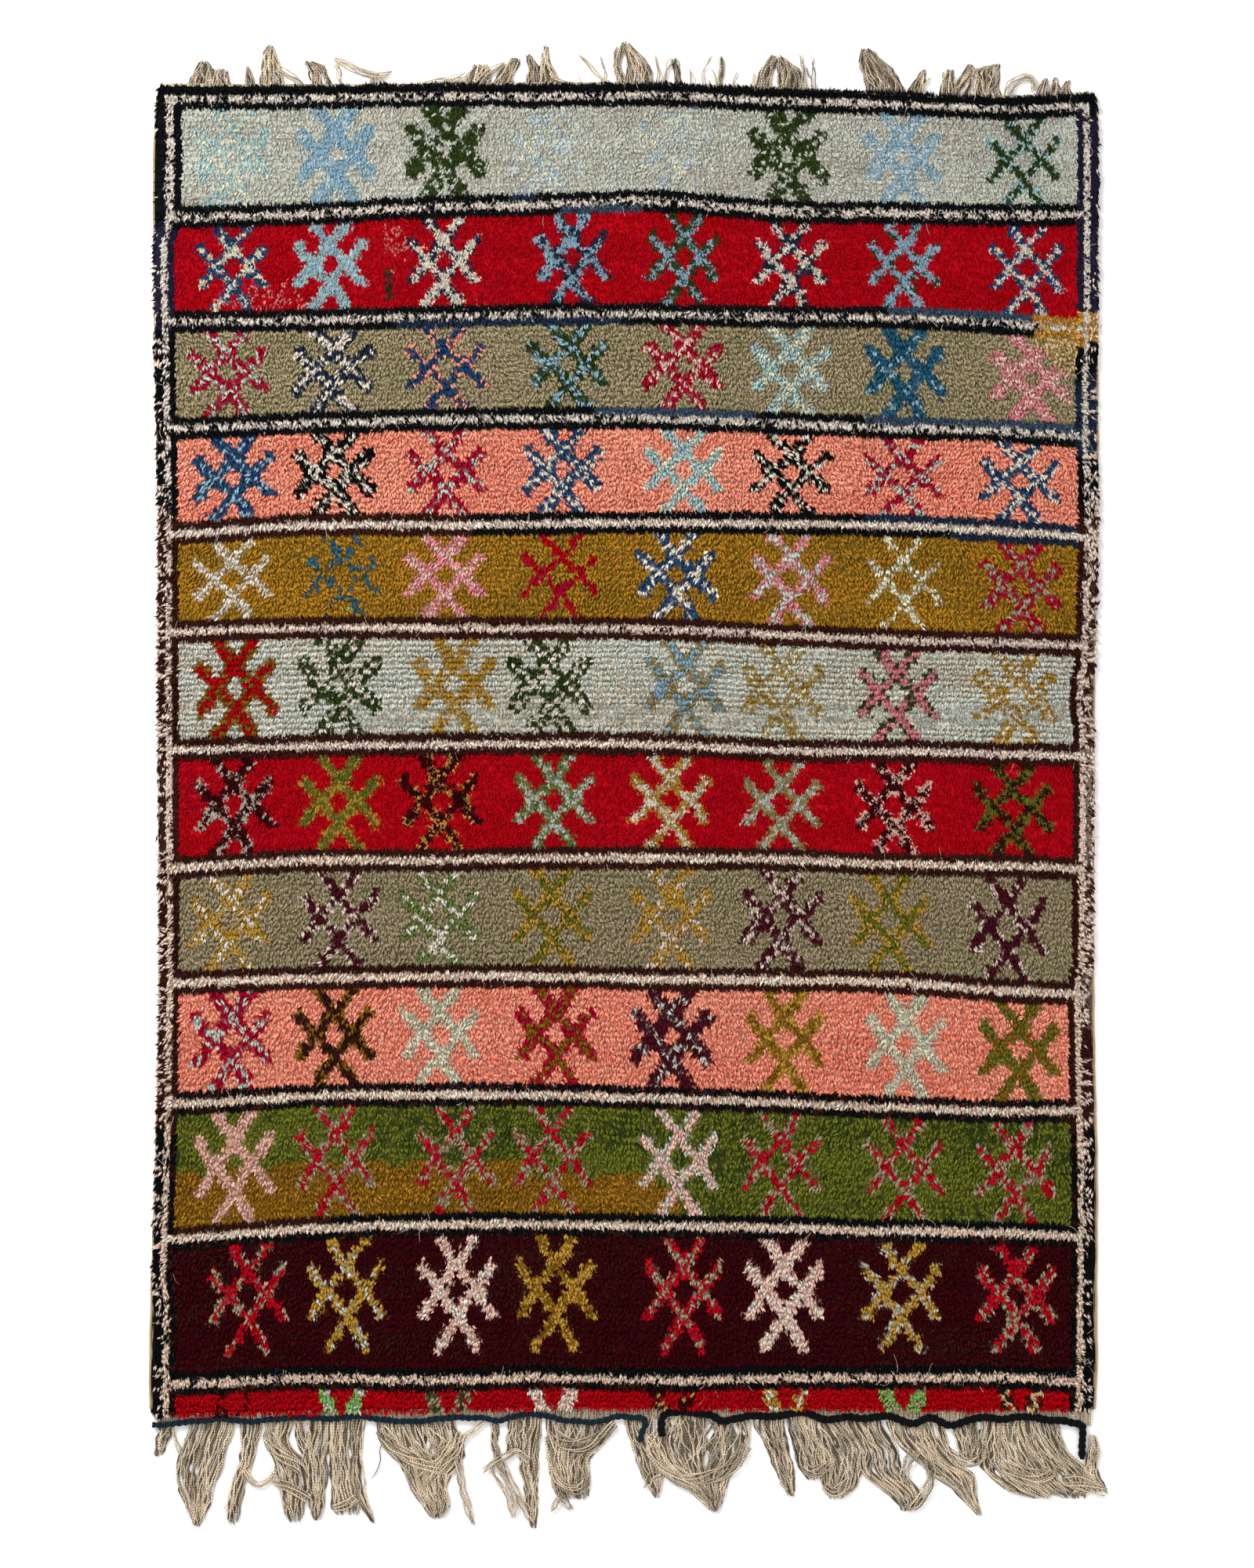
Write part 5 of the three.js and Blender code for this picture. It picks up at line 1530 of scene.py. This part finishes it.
NEAR_LOOSE: tuple[tuple[int, Table], ...] = (
    (3, ((-726, 2139, 5), (-724, 2163, 5), (-718, 2180, 5), (-712, 2194, 3))),
    (5, ((-610, 2218, 10), (-602, 2233, 9), (-587, 2241, 9), (-569, 2230, 8), (-560, 2213, 7))),
    (8, ((-575, 2163, 21), (-556, 2190, 21), (-528, 2211, 21), (-515, 2228, 14))),
    (6, ((-566, 2235, 14), (-542, 2245, 14), (-518, 2259, 14), (-506, 2269, 9))),
    (6, ((-470, 2279, 10), (-451, 2274, 14), (-432, 2261, 14))),
    (1, ((-399, 2135, 3), (-395, 2166, 3), (-394, 2187, 3), (-401, 2218, 2), (-415, 2239, 2))),
    (8, ((-395, 2153, 21), (-364, 2187, 21), (-329, 2207, 21), (-295, 2221, 17))),
    (8, ((-264, 2159, 17), (-278, 2187, 17), (-302, 2211, 17), (-333, 2238, 21))),
    (7, ((-343, 2177, 17), (-316, 2201, 17), (-292, 2187, 17), (-275, 2166, 14))),
    (4, ((-229, 2139, 8), (-245, 2153, 8), (-259, 2163, 9), (-271, 2175, 11))),
    (6, ((-271, 2204, 12), (-267, 2228, 12), (-260, 2260, 11), (-252, 2288, 8), (-246, 2306, 3))),
    (6, ((-157, 2204, 11), (-166, 2197, 10), (-178, 2188, 9), (-196, 2197, 10), (-214, 2206, 11),
        (-226, 2216, 9), (-232, 2225, 4))),
    (7, ((-212, 2212, 18), (-200, 2235, 18), (-188, 2256, 16), (-184, 2277, 15), (-185, 2296, 8))),
    (5, ((-200, 2207, 13), (-184, 2242, 12), (-168, 2270, 11), (-156, 2295, 9), (-150, 2309, 4))),
    (4, ((-105, 2256, 13), (-112, 2267, 11), (-121, 2279, 8), (-124, 2285, 3))),
    (4, ((-110, 2263, 11), (-101, 2270, 11), (-94, 2277, 8), (-87, 2283, 2))),
    (9, ((-21, 2144, 14), (-45, 2165, 21), (-77, 2179, 21), (-112, 2168, 21), (-126, 2151, 14))),
    (7, ((-126, 2165, 14), (-119, 2207, 14), (-105, 2242, 14), (-77, 2249, 18), (-63, 2228, 11))),
    (9, ((190, 2179, 21), (165, 2214, 21), (137, 2228, 21), (106, 2232, 18), (78, 2228, 14))),
    (6, ((35, 2190, 14), (60, 2221, 14), (88, 2239, 14), (120, 2256, 14))),
    (5, ((53, 2225, 14), (35, 2232, 14), (30, 2249, 12))),
    (7, ((480, 2200, 15), (485, 2223, 16), (480, 2242, 16), (467, 2265, 17), (449, 2283, 11))),
    (6, ((459, 2189, 19), (447, 2208, 15), (440, 2227, 15), (447, 2246, 15))),
    (6, ((281, 2212, 15), (294, 2221, 18), (314, 2215, 18), (325, 2204, 15))),
    (6, ((314, 2242, 15), (329, 2254, 17), (348, 2242, 17), (359, 2227, 15))),
    (6, ((566, 2185, 15), (560, 2200, 17), (543, 2206, 15), (524, 2196, 14), (513, 2185, 11))),
    (8, ((601, 2200, 23), (627, 2219, 23), (658, 2227, 23), (681, 2219, 19))),
    (8, ((673, 2261, 8), (658, 2246, 15), (627, 2227, 23), (597, 2208, 23))),
    (8, ((763, 2254, 15), (742, 2246, 19), (719, 2238, 23), (692, 2234, 19))),
)
FAR_BUNCHES: tuple[Table, ...] = (
    ((18, -703, -662), (5, -702, -662), (-10, -695, -663), (-22, -686, -665), (-30, -681, -671)),
    ((18, -664, -633), (5, -664, -634), (-8, -665, -637), (-18, -660, -638)),
    ((18, -607, -595), (7, -607, -596), (-8, -609, -600), (-22, -608, -606)),
    ((18, -588, -547), (7, -587, -549), (-18, -585, -555), (-39, -580, -562), (-49, -577, -564),
     (-56, -573, -568)),
    ((18, -502, -473), (8, -503, -474), (-10, -508, -479), (-22, -512, -485), (-30, -517, -507)),
    ((18, -264, -218), (3, -260, -218), (-12, -253, -219), (-25, -243, -225)),
    ((18, -213, -182), (3, -212, -184), (-16, -201, -177), (-35, -185, -172)),
    ((18, -163, -139), (5, -162, -140), (-20, -160, -144), (-41, -161, -155)),
    ((18, -144, -108), (5, -143, -110), (-24, -140, -122), (-41, -134, -127), (-55, -132, -130)),
    ((18, -18, 1), (5, -19, -1), (-24, -24, -12), (-49, -17, -6), (-62, -10, -5)),
    ((18, -1, 45), (5, -1, 42), (-24, -1, 32), (-45, -5, 15), (-60, -8, 0)),
    ((18, 78, 89), (7, 77, 87), (-16, 73, 83), (-35, 72, 79)),
    ((18, 145, 151), (5, 145, 151), (-20, 145, 154), (-37, 145, 155)),
    ((18, 204, 230), (11, 205, 229), (-16, 215, 235), (-40, 230, 236)),
    ((18, 239, 259), (5, 240, 258), (-24, 240, 262), (-39, 239, 245)),
    ((20, 242, 280), (7, 243, 278), (-14, 247, 276), (-28, 242, 259)),
    ((22, 380, 442), (11, 381, 441), (-1, 377, 433), (-18, 372, 421), (-35, 370, 402), (-50, 374, 388)),
    ((24, 446, 472), (15, 447, 472), (1, 458, 472), (-16, 472, 475)),
    ((28, 498, 517), (19, 498, 516), (-1, 502, 520), (-19, 508, 520)),
    ((28, 514, 548), (20, 515, 547), (3, 526, 552), (-14, 540, 555), (-25, 544, 548)),
    ((30, 550, 598), (22, 551, 595), (-1, 557, 593), (-18, 558, 592), (-25, 587, 592)),
    ((30, 653, 668), (22, 654, 668), (7, 661, 670), (-3, 667, 671)),
    ((30, 672, 692), (22, 672, 691), (7, 677, 688), (-3, 681, 686)),
    ((30, 690, 708), (22, 691, 708), (11, 695, 705), (1, 700, 705)),
)
FAR_LOOSE: tuple[tuple[int, Table], ...] = (
    (5, ((-516, 15, 11), (-524, 3, 11), (-541, -8, 12), (-562, -20, 11))),
    (3, ((-451, 18, 7), (-457, 5, 7), (-462, -14, 7), (-468, -31, 6))),
    (6, ((-468, -33, 5), (-447, -23, 11), (-424, -12, 12), (-395, -6, 11), (-373, -12, 4))),
    (8, ((-403, 15, 25), (-401, 5, 25), (-393, -3, 21))),
    (5, ((-337, 10, 6), (-308, 3, 9), (-278, -1, 12), (-251, -9, 14))),
    (4, ((-243, 9, 11), (-226, -8, 10), (-210, -19, 7), (-196, -29, 2))),
    (3, ((-126, -8, 10), (-114, -1, 8), (-96, 6, 5))),
    (1, ((-78, 15, 4), (-78, 1, 4), (-78, -10, 2))),
    (3, ((-30, 13, 7), (-41, -1, 7), (-60, -22, 7), (-80, -41, 4))),
    (2, ((-34, 13, 5), (-35, -3, 5), (-39, -24, 4), (-41, -41, 2))),
    (2, ((49, 15, 6), (48, -3, 5), (46, -24, 3), (45, -42, 2))),
    (3, ((56, 9, 6), (61, -12, 7), (69, -26, 8), (75, -36, 5))),
    (2, ((105, 18, 7), (104, 5, 6), (101, -10, 5), (98, -22, 2))),
    (2, ((125, 15, 5), (120, -3, 4), (126, -24, 3), (135, -41, 2))),
    (1, ((142, 18, 5), (140, 1, 4), (136, -18, 2))),
    (2, ((167, 18, 5), (170, 1, 5), (175, -15, 2))),
    (2, ((201, 18, 6), (201, 3, 5), (202, -12, 2))),
    (3, ((283, 20, 8), (282, 1, 7), (279, -20, 5), (276, -41, 2))),
    (2, ((297, 20, 7), (296, 1, 6), (297, -18, 5), (297, -35, 2))),
    (1, ((293, 11, 3), (290, -8, 3), (286, -22, 2))),
    (2, ((468, 24, 6), (472, 11, 6), (482, -5, 2))),
    (6, ((607, 28, 17), (611, 11, 17), (624, 0, 15), (640, -5, 11), (649, 5, 8), (645, 22, 6))),
)


@dataclass
class WarpFringe:
    """A fringe of warp ends: spun yarns in bunches, level on the floor, each a thin tube."""

    name: str
    stands_for: str
    cloth: Cloth
    bunches: tuple[Table, ...]
    loose: tuple[tuple[int, Table], ...]
    spacing: float = 2.5
    radius: float = 1.2
    radius_range: Pair = (0.82, 1.12)
    waves: Table = ((1.5, 52.0), (1.2, 27.0))  # how far a yarn waves sideways and how long the wave is
    jitter: float = 0.45
    rise: float = 0.7
    stout_under: float = 0.45  # how much thicker yarns of the lower layer are drawn
    steps: int = 16
    tone: float = 1.2
    tone_spread: float = 0.22
    under_shade: float = 0.78  # painted shade of the lower layer: how much darker its yarns are
    dirty: Pair = (0.14, 0.5)  # share of greyed yarns and their lightness
    patchy: Pair = (0.28, 0.1)  # change of shade along a yarn, slow and quick
    seed: int = 71

    def build(self, material: Material) -> Piece:
        """Lays all bunches and locks and carries a three-sided ring along every yarn.

        Each yarn also waves sideways by two slow sines of its own, and rises and falls a little over others.
        """
        rng = np.random.default_rng(self.seed)
        locks = [Bunch(rows) for rows in self.bunches] + [Loose(yarns, rows) for yarns, rows in self.loose]
        laid = [lock.lay(rng, self.steps, self.spacing) for lock in locks]
        pairs = zip(locks, laid, strict=True)
        under = np.concatenate([lock.under(len(x)) for lock, (x, _, _) in pairs])
        x, down, z = (np.concatenate(parts) for parts in zip(*laid, strict=True))
        n = len(x)
        t = np.linspace(0, 1, self.steps)[None, :]
        grows = np.minimum(1, 4 * t)
        for size, length in self.waves:
            phase = 2 * math.pi * (down - down[:, :1]) / length + rng.uniform(0, 6.28, (n, 1))
            x = x + size * grows * np.sin(phase)
        x = x + self.jitter * grows * rng.standard_normal(x.shape)
        z = z + self.rise * np.sin(down / 9 + rng.uniform(0, 6.28, (n, 1)))
        stout = self.radius * (1 + self.stout_under * under[:, None])
        stout = stout * rng.uniform(*self.radius_range, (n, 1))
        paths = self.cloth.to_frame(x, down, np.maximum(z, stout))
        radius = stout * (1 - 0.45 * np.maximum(0, (t - 0.85) / 0.15) ** 2)
        shape = tubes(paths, radius, 3, rng.uniform(0, 2, (n, 1)))
        # Painted shade darkens the yarns of the lower layer.
        tone = self.tone * (1 + self.tone_spread * rng.standard_normal(n)) * (1 - self.under_shade * under)
        tone = np.where(rng.random(n) < self.dirty[0], tone * self.dirty[1], tone)
        slow = self.patchy[0] * soft_noise(x, down, 19, self.seed + 4)
        patchy = 1 + slow + self.patchy[1] * rng.standard_normal(x.shape)
        shade = np.clip(tone[:, None] * patchy, 0.1, 1.45)
        ends = np.concatenate([np.repeat(shade, 3, axis=1), shade[:, :1], shade[:, -1:]], axis=1)
        # The painted shade of the lower layer is browner.
        shade_tint = 1 - under[:, None, None] * np.array([0.0, 0.07, 0.17])
        shape.colour = (ends[:, :, None] * shade_tint * PALETTE[INDEX[Yarn.WARP]]).reshape(-1, 3)
        piece = make_piece(self.name, shape, material)
        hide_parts(self.stands_for)
        return piece


@dataclass
class WarpStubs:
    """Short warp ends all along the near edge, from under the pile to under the end cords."""

    cloth: Cloth
    reach: Table  # x and distance down of the line where they end
    count: int = 620
    across: Pair = (-750.0, 738.0)
    inside: float = 6.0  # how far under the pile they start
    root_z: float = 6.4
    fall: float = 3.8
    sway: float = 1.4
    steps: int = 4
    radius: float = 1.35
    tone_spread: float = 0.15
    seed: int = 75

    def build(self, material: Material) -> Piece:
        """Carries a three-sided ring along each stub, a straight line from the cloth down to the floor."""
        rng = np.random.default_rng(self.seed)
        n = self.count
        x0 = np.linspace(*self.across, n) + rng.uniform(-0.6, 0.6, n)
        end = smooth_through(x0, *by_column(self.reach)) + 1.0
        t = np.linspace(0, 1, self.steps)[None, :]
        start = self.cloth.near(x0) - self.inside
        down = start[:, None] + (end - start)[:, None] * t
        x = x0[:, None] + self.sway * rng.standard_normal((n, 1)) * t
        z = self.root_z - self.fall * t + rng.uniform(-0.4, 0.8, (n, 1))
        radius = np.full(x.shape, self.radius)
        shape = tubes(self.cloth.to_frame(x, down, z), radius, 3, rng.uniform(0, 2, (n, 1)))
        tone = np.clip(1 + self.tone_spread * rng.standard_normal(n), 0.4, 1.5)
        rgb = PALETTE[INDEX[Yarn.WARP]] * tone[:, None]
        shape.colour = np.repeat(rgb, self.steps * 3 + 2, axis=0)
        return make_piece("warp_stubs", shape, material)


# ------------------------------------------------- end cords
NAVY_RUN: Table = (
    (-758, 2146), (-720, 2144), (-686, 2140), (-652, 2137), (-618, 2140), (-576, 2139), (-549, 2136),
    (-532, 2134), (-498, 2136), (-470, 2136), (-432, 2133), (-401, 2136), (-360, 2141), (-326, 2139),
    (-292, 2136), (-266, 2134), (-231, 2136), (-203, 2139), (-185, 2133), (-154, 2130), (-126, 2132),
    (-101, 2139), (-73, 2141), (-42, 2140), (-21, 2134), (4, 2134), (25, 2136), (29, 2142), (23, 2158),
    (20, 2172),
)
BLACK_RUN: Table = (
    (55, 2163), (53, 2144), (58, 2131), (85, 2126), (112, 2127), (134, 2132), (151, 2140), (172, 2136),
    (190, 2132), (207, 2133), (237, 2132), (275, 2127), (291, 2129), (313, 2137), (344, 2135), (371, 2135),
    (398, 2134), (413, 2132), (436, 2139), (459, 2143), (482, 2135), (512, 2146), (536, 2142), (566, 2134),
    (601, 2137), (639, 2133), (677, 2139), (708, 2142), (724, 2146), (726, 2158), (725, 2173), (725, 2198),
)


@dataclass
class EndCord:
    """A cord of two plies twined over the warp ends along the near edge, with its loose tails."""

    name: str
    cloth: Cloth
    run: Table
    yarn: Yarn
    slot: str
    height: float = 7.0
    ply: float = 2.8
    apart: float = 2.4
    oval: float = 0.8  # height of the twist as a share of its width
    stout: float = 1.0  # its plies' thickness beside the navy cord's
    turn: float = 21.0  # length of one full twist
    step: float = 2.0
    radius_spread: float = 0.06
    shade_spread: float = 0.12
    seed: int = 5

    def spine(self) -> Array:
        """The cord's middle line at equal steps: a smooth curve through the run's points."""
        x, down = by_column(self.run)
        along = path_length(x, down)
        at = np.linspace(0, along[-1], int(along[-1] / self.step))
        sway = 0.7 * np.sin(at / 11.0) + 0.5 * np.sin(at / 6.1)
        x, down = (smooth_through(at, along, v) for v in (x, down))
        return self.cloth.to_frame(x, down + sway, self.height + 0.3 * np.sin(at / 17))

    def build(self, material: Material) -> Piece:
        """Winds two six-sided plies round the spine as a double helix."""
        spine = self.spine()
        along = unit(np.gradient(spine, axis=0))
        across = unit(np.cross(along, UP))
        up = np.cross(across, along)
        phase = 2 * math.pi * np.arange(len(spine)) * self.step / self.turn
        plies = []
        for half in (0.0, math.pi):
            c, s = np.cos(phase + half)[:, None], np.sin(phase + half)[:, None]
            plies.append(spine + self.apart * (c * across + self.oval * s * up))
        paths = np.stack(plies)
        rng = np.random.default_rng(self.seed)
        radius = self.ply * (1 + self.radius_spread * rng.standard_normal(paths.shape[:2])) * self.stout
        shape = tubes(paths, radius, 6)
        shade = 1 + self.shade_spread * rng.standard_normal(len(shape.points))
        shape.colour = PALETTE[INDEX[self.yarn]] * np.clip(shade, 0.5, 1.6)[:, None]
        piece = make_piece(f"twined_{self.name}", shape, material)
        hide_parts(self.name)
        return piece


# ------------------------------------------------- selvedges
@dataclass
class Selvedge:
    """The overcast edge: two thin wrapped cords side by side along each long side."""

    cloth: Cloth
    radius: float = 2.1
    insets: Pair = (2.0, 5.6)
    height: float = 2.6
    run: Pair = (30.0, 2122.0)  # distance down of its ends
    step: float = 10.0
    wave: float = 0.35
    radius_spread: float = 0.07
    shade_spread: float = 0.1
    seed: int = 3

    def build(self, material: Material) -> Piece:
        """Carries a six-sided ring down each cord, following the cloth's outline."""
        down = np.arange(*self.run, self.step)
        paths, radii = [], []
        rng = np.random.default_rng(self.seed)
        for inset in self.insets:
            for x in (self.cloth.left(down) + inset, self.cloth.right(down) - inset):
                wave = self.wave * np.sin(down / 13 + inset)
                paths.append(self.cloth.to_frame(x + wave, down, self.height))
                radii.append(self.radius * (1 + self.radius_spread * rng.standard_normal(down.shape)))
        shape = tubes(np.stack(paths), np.stack(radii), 6)
        shade = 1 + self.shade_spread * rng.standard_normal(len(shape.points))
        shape.colour = PALETTE[INDEX[Yarn.SELVEDGE]] * np.clip(shade, 0.5, 1.5)[:, None]
        return make_piece("selvedges", shape, material)


# ----------------------------------------------- stray hairs
@dataclass
class StrayHairs:
    """Long loose fibres of the cream yarn that lie across the dark lines and the side borders."""

    cloth: Cloth
    count: int = 330
    steps: int = 6
    radius: float = 0.42
    beside: float = 0.35  # share of hairs that lie at the side borders
    side_in: float = 24.0  # how far in from the side those start
    spread: float = 7.0
    across: Pair = (-735.0, 735.0)
    side_down: Pair = (60.0, 2100.0)
    length: Pair = (10.0, 27.0)
    bend: float = 0.8  # radians
    height: float = 12.4
    arch: float = 1.6
    seed: int = 17

    def build(self, material: Material) -> Piece:
        """Lays each hair as an arc: a start by a cream line or border, a heading, a length and a bend."""
        rng = np.random.default_rng(self.seed)
        n = self.count
        at_side = rng.random(n) < self.beside
        line = rng.integers(0, len(self.cloth.lines), n)
        x = rng.uniform(*self.across, n)
        lines = [self.cloth.line(k, x) for k in range(len(self.cloth.lines))]
        down = np.stack(lines)[line, np.arange(n)] + rng.normal(0, self.spread, n)
        side_down = rng.uniform(*self.side_down, n)
        right = rng.random(n) < 0.5
        inside = self.cloth.right(side_down) - self.side_in, self.cloth.left(side_down) + self.side_in
        x = np.where(at_side, np.where(right, *inside) + rng.normal(0, self.spread, n), x)
        down = np.where(at_side, side_down, down)
        turn = np.where(rng.random(n) < 0.5, math.pi / 2, -math.pi / 2) + rng.normal(0, 0.45, n)
        turn = np.where(at_side, np.where(right, 0.0, math.pi) + rng.normal(0, 0.8, n), turn)
        step = rng.uniform(*self.length, n)[:, None] / self.steps
        t = np.linspace(0, 1, self.steps)[None, :]
        angle = turn[:, None] + rng.normal(0, self.bend, (n, 1)) * t
        x = x[:, None] + np.cumsum(np.cos(angle), axis=1) * step
        down = down[:, None] - np.cumsum(np.sin(angle), axis=1) * step
        z = self.height + self.arch * np.sin(math.pi * t) + rng.uniform(-0.6, 0.8, (n, 1))
        shape = tubes(self.cloth.to_frame(x, down, z), np.full(x.shape, self.radius), 3)
        tone = np.clip(1 + 0.12 * rng.standard_normal(n), 0.6, 1.3)
        shape.colour = np.repeat(PALETTE[INDEX[Yarn.CREAM]] * tone[:, None], self.steps * 3 + 2, axis=0)
        return make_piece("stray_hairs", shape, material)


# ---------------------------------------------------- studio
@dataclass(frozen=True)
class Studio:
    """Plain pale floor, soft light from above and a camera that looks straight down."""

    centre: Pair = (4.6, -5.7)
    tall: float = 2500.0  # what the frame shows from far to near
    distance: float = 12.0  # metres from the floor to the camera
    floor_half: float = 12.0
    floor_z: float = -0.0004
    floor_tone: Pair = (0.93, 0.95)
    key: tuple[float, float, float] = (-2.2, 2.6, 3.4)
    fill: tuple[float, float, float] = (2.6, -1.2, 4.2)
    all_round: float = 0.75  # strength of the even light from everywhere
    sensor: float = 36.0
    top_z: float = 0.013  # height that the frame is measured at, in metres

    def floor(self) -> None:
        """Lays the floor."""
        material, add = new_material("studio_floor")
        place = add("TexCoord").outputs["Object"]
        grain = add("TexNoise", {"Scale": 6.0, "Detail": 2.0}, {"Vector": place})
        tone = add("MapRange", span(NOISE_RANGE, self.floor_tone), {"Value": grain})
        shader = add("BsdfPrincipled", {"Roughness": 0.8}, {"Base Color": tone})
        add("OutputMaterial", links={"Surface": shader})
        mesh = bpy.data.meshes.new("studio_floor")
        half, z = self.floor_half, self.floor_z
        square = [(-half, -half, z), (half, -half, z), (half, half, z), (-half, half, z)]
        mesh.from_pydata(square, [], [(0, 1, 2, 3)])
        plane = bpy.data.objects.new("studio_floor", mesh)
        SCENE.collection.objects.link(plane)
        plane.data.materials.append(material)

    def lamp(self, name: str, place: tuple[float, float, float], size: float, watts: float) -> None:
        """Hangs one square soft light that points at the rug's middle."""
        light = bpy.data.lights.new(name, "AREA")
        light.size = size
        light.energy = watts
        lamp = bpy.data.objects.new(name, light)
        lamp.location = place
        away = math.hypot(place[0], place[1])
        lamp.rotation_euler = (math.atan2(away, place[2]), 0.0, math.atan2(place[0], -place[1]))
        SCENE.collection.objects.link(lamp)

    def build(self) -> None:
        """Makes the floor, the lights, the sky's even fill and the camera."""
        self.floor()
        self.lamp("key", self.key, 2.2, 210.0)
        self.lamp("fill", self.fill, 3.0, 60.0)
        world = bpy.data.worlds.new("studio")
        world.use_nodes = True
        back = world.node_tree.nodes["Background"]
        back.inputs["Color"].default_value = (1.0, 1.0, 1.0, 1.0)
        back.inputs["Strength"].default_value = self.all_round
        SCENE.world = world
        SCENE.view_settings.view_transform = "Standard"
        view = bpy.data.cameras.new("view")
        view.sensor_width = self.sensor
        view.lens = self.sensor * (self.distance - self.top_z) / (self.tall * MM)
        view.clip_end = 100.0
        camera = bpy.data.objects.new("view", view)
        camera.location = (self.centre[0] * MM, self.centre[1] * MM, self.distance)
        SCENE.collection.objects.link(camera)
        SCENE.camera = camera


def write_sizes() -> None:
    """Updates the view layer."""
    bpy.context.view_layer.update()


def main() -> None:
    """Builds the rug piece by piece, then the studio."""
    logging.basicConfig(level=logging.INFO, format="%(name)s %(message)s")
    cloth = Cloth()
    knots = KnotPlan(cloth, StarChart()).build()
    LOG.info("%d knots in the bands %s", len(knots.x), ", ".join(band.name for band in BANDS))
    coarse = KnotPlan(cloth, StarChart(), field_columns=144)
    columns = coarse.field_columns + 2 * len(coarse.border_at)
    warp = SpunYarn("warp_yarn").build()
    tufts = Pile(cloth, knots).build(WoolPile().build())
    ground = Foundation(cloth, coarse.build(), columns).build(KnotGround().build())
    reach = NAVY_RUN[:-3] + BLACK_RUN[3:-3]  # the cords without their loose ends
    near = WarpFringe("near_fringe", "fringe_bottom", cloth, NEAR_BUNCHES, NEAR_LOOSE).build(warp)
    stubs = WarpStubs(cloth, reach).build(warp)
    far = WarpFringe("far_fringe", "fringe_top", cloth, FAR_BUNCHES, FAR_LOOSE, steps=8, tone=0.9, seed=72)
    far = far.build(warp)
    cord = SpunYarn("dyed_cord_yarn", ply_mm=2.6, crease=0.55).build()
    navy = EndCord("end_cord_navy", cloth, NAVY_RUN, Yarn.CORD_NAVY, "navy_yarn").build(cord)
    black = EndCord("end_cord_black", cloth, BLACK_RUN, Yarn.BLACK, "black_yarn", stout=1.5).build(cord)
    edges = Selvedge(cloth).build(SpunYarn("selvedge_yarn", ply_mm=2.4, crease=0.6).build())
    hairs = StrayHairs(cloth).build(warp)
    Studio().build()
    write_sizes()


if __name__ == "__main__":
    main()
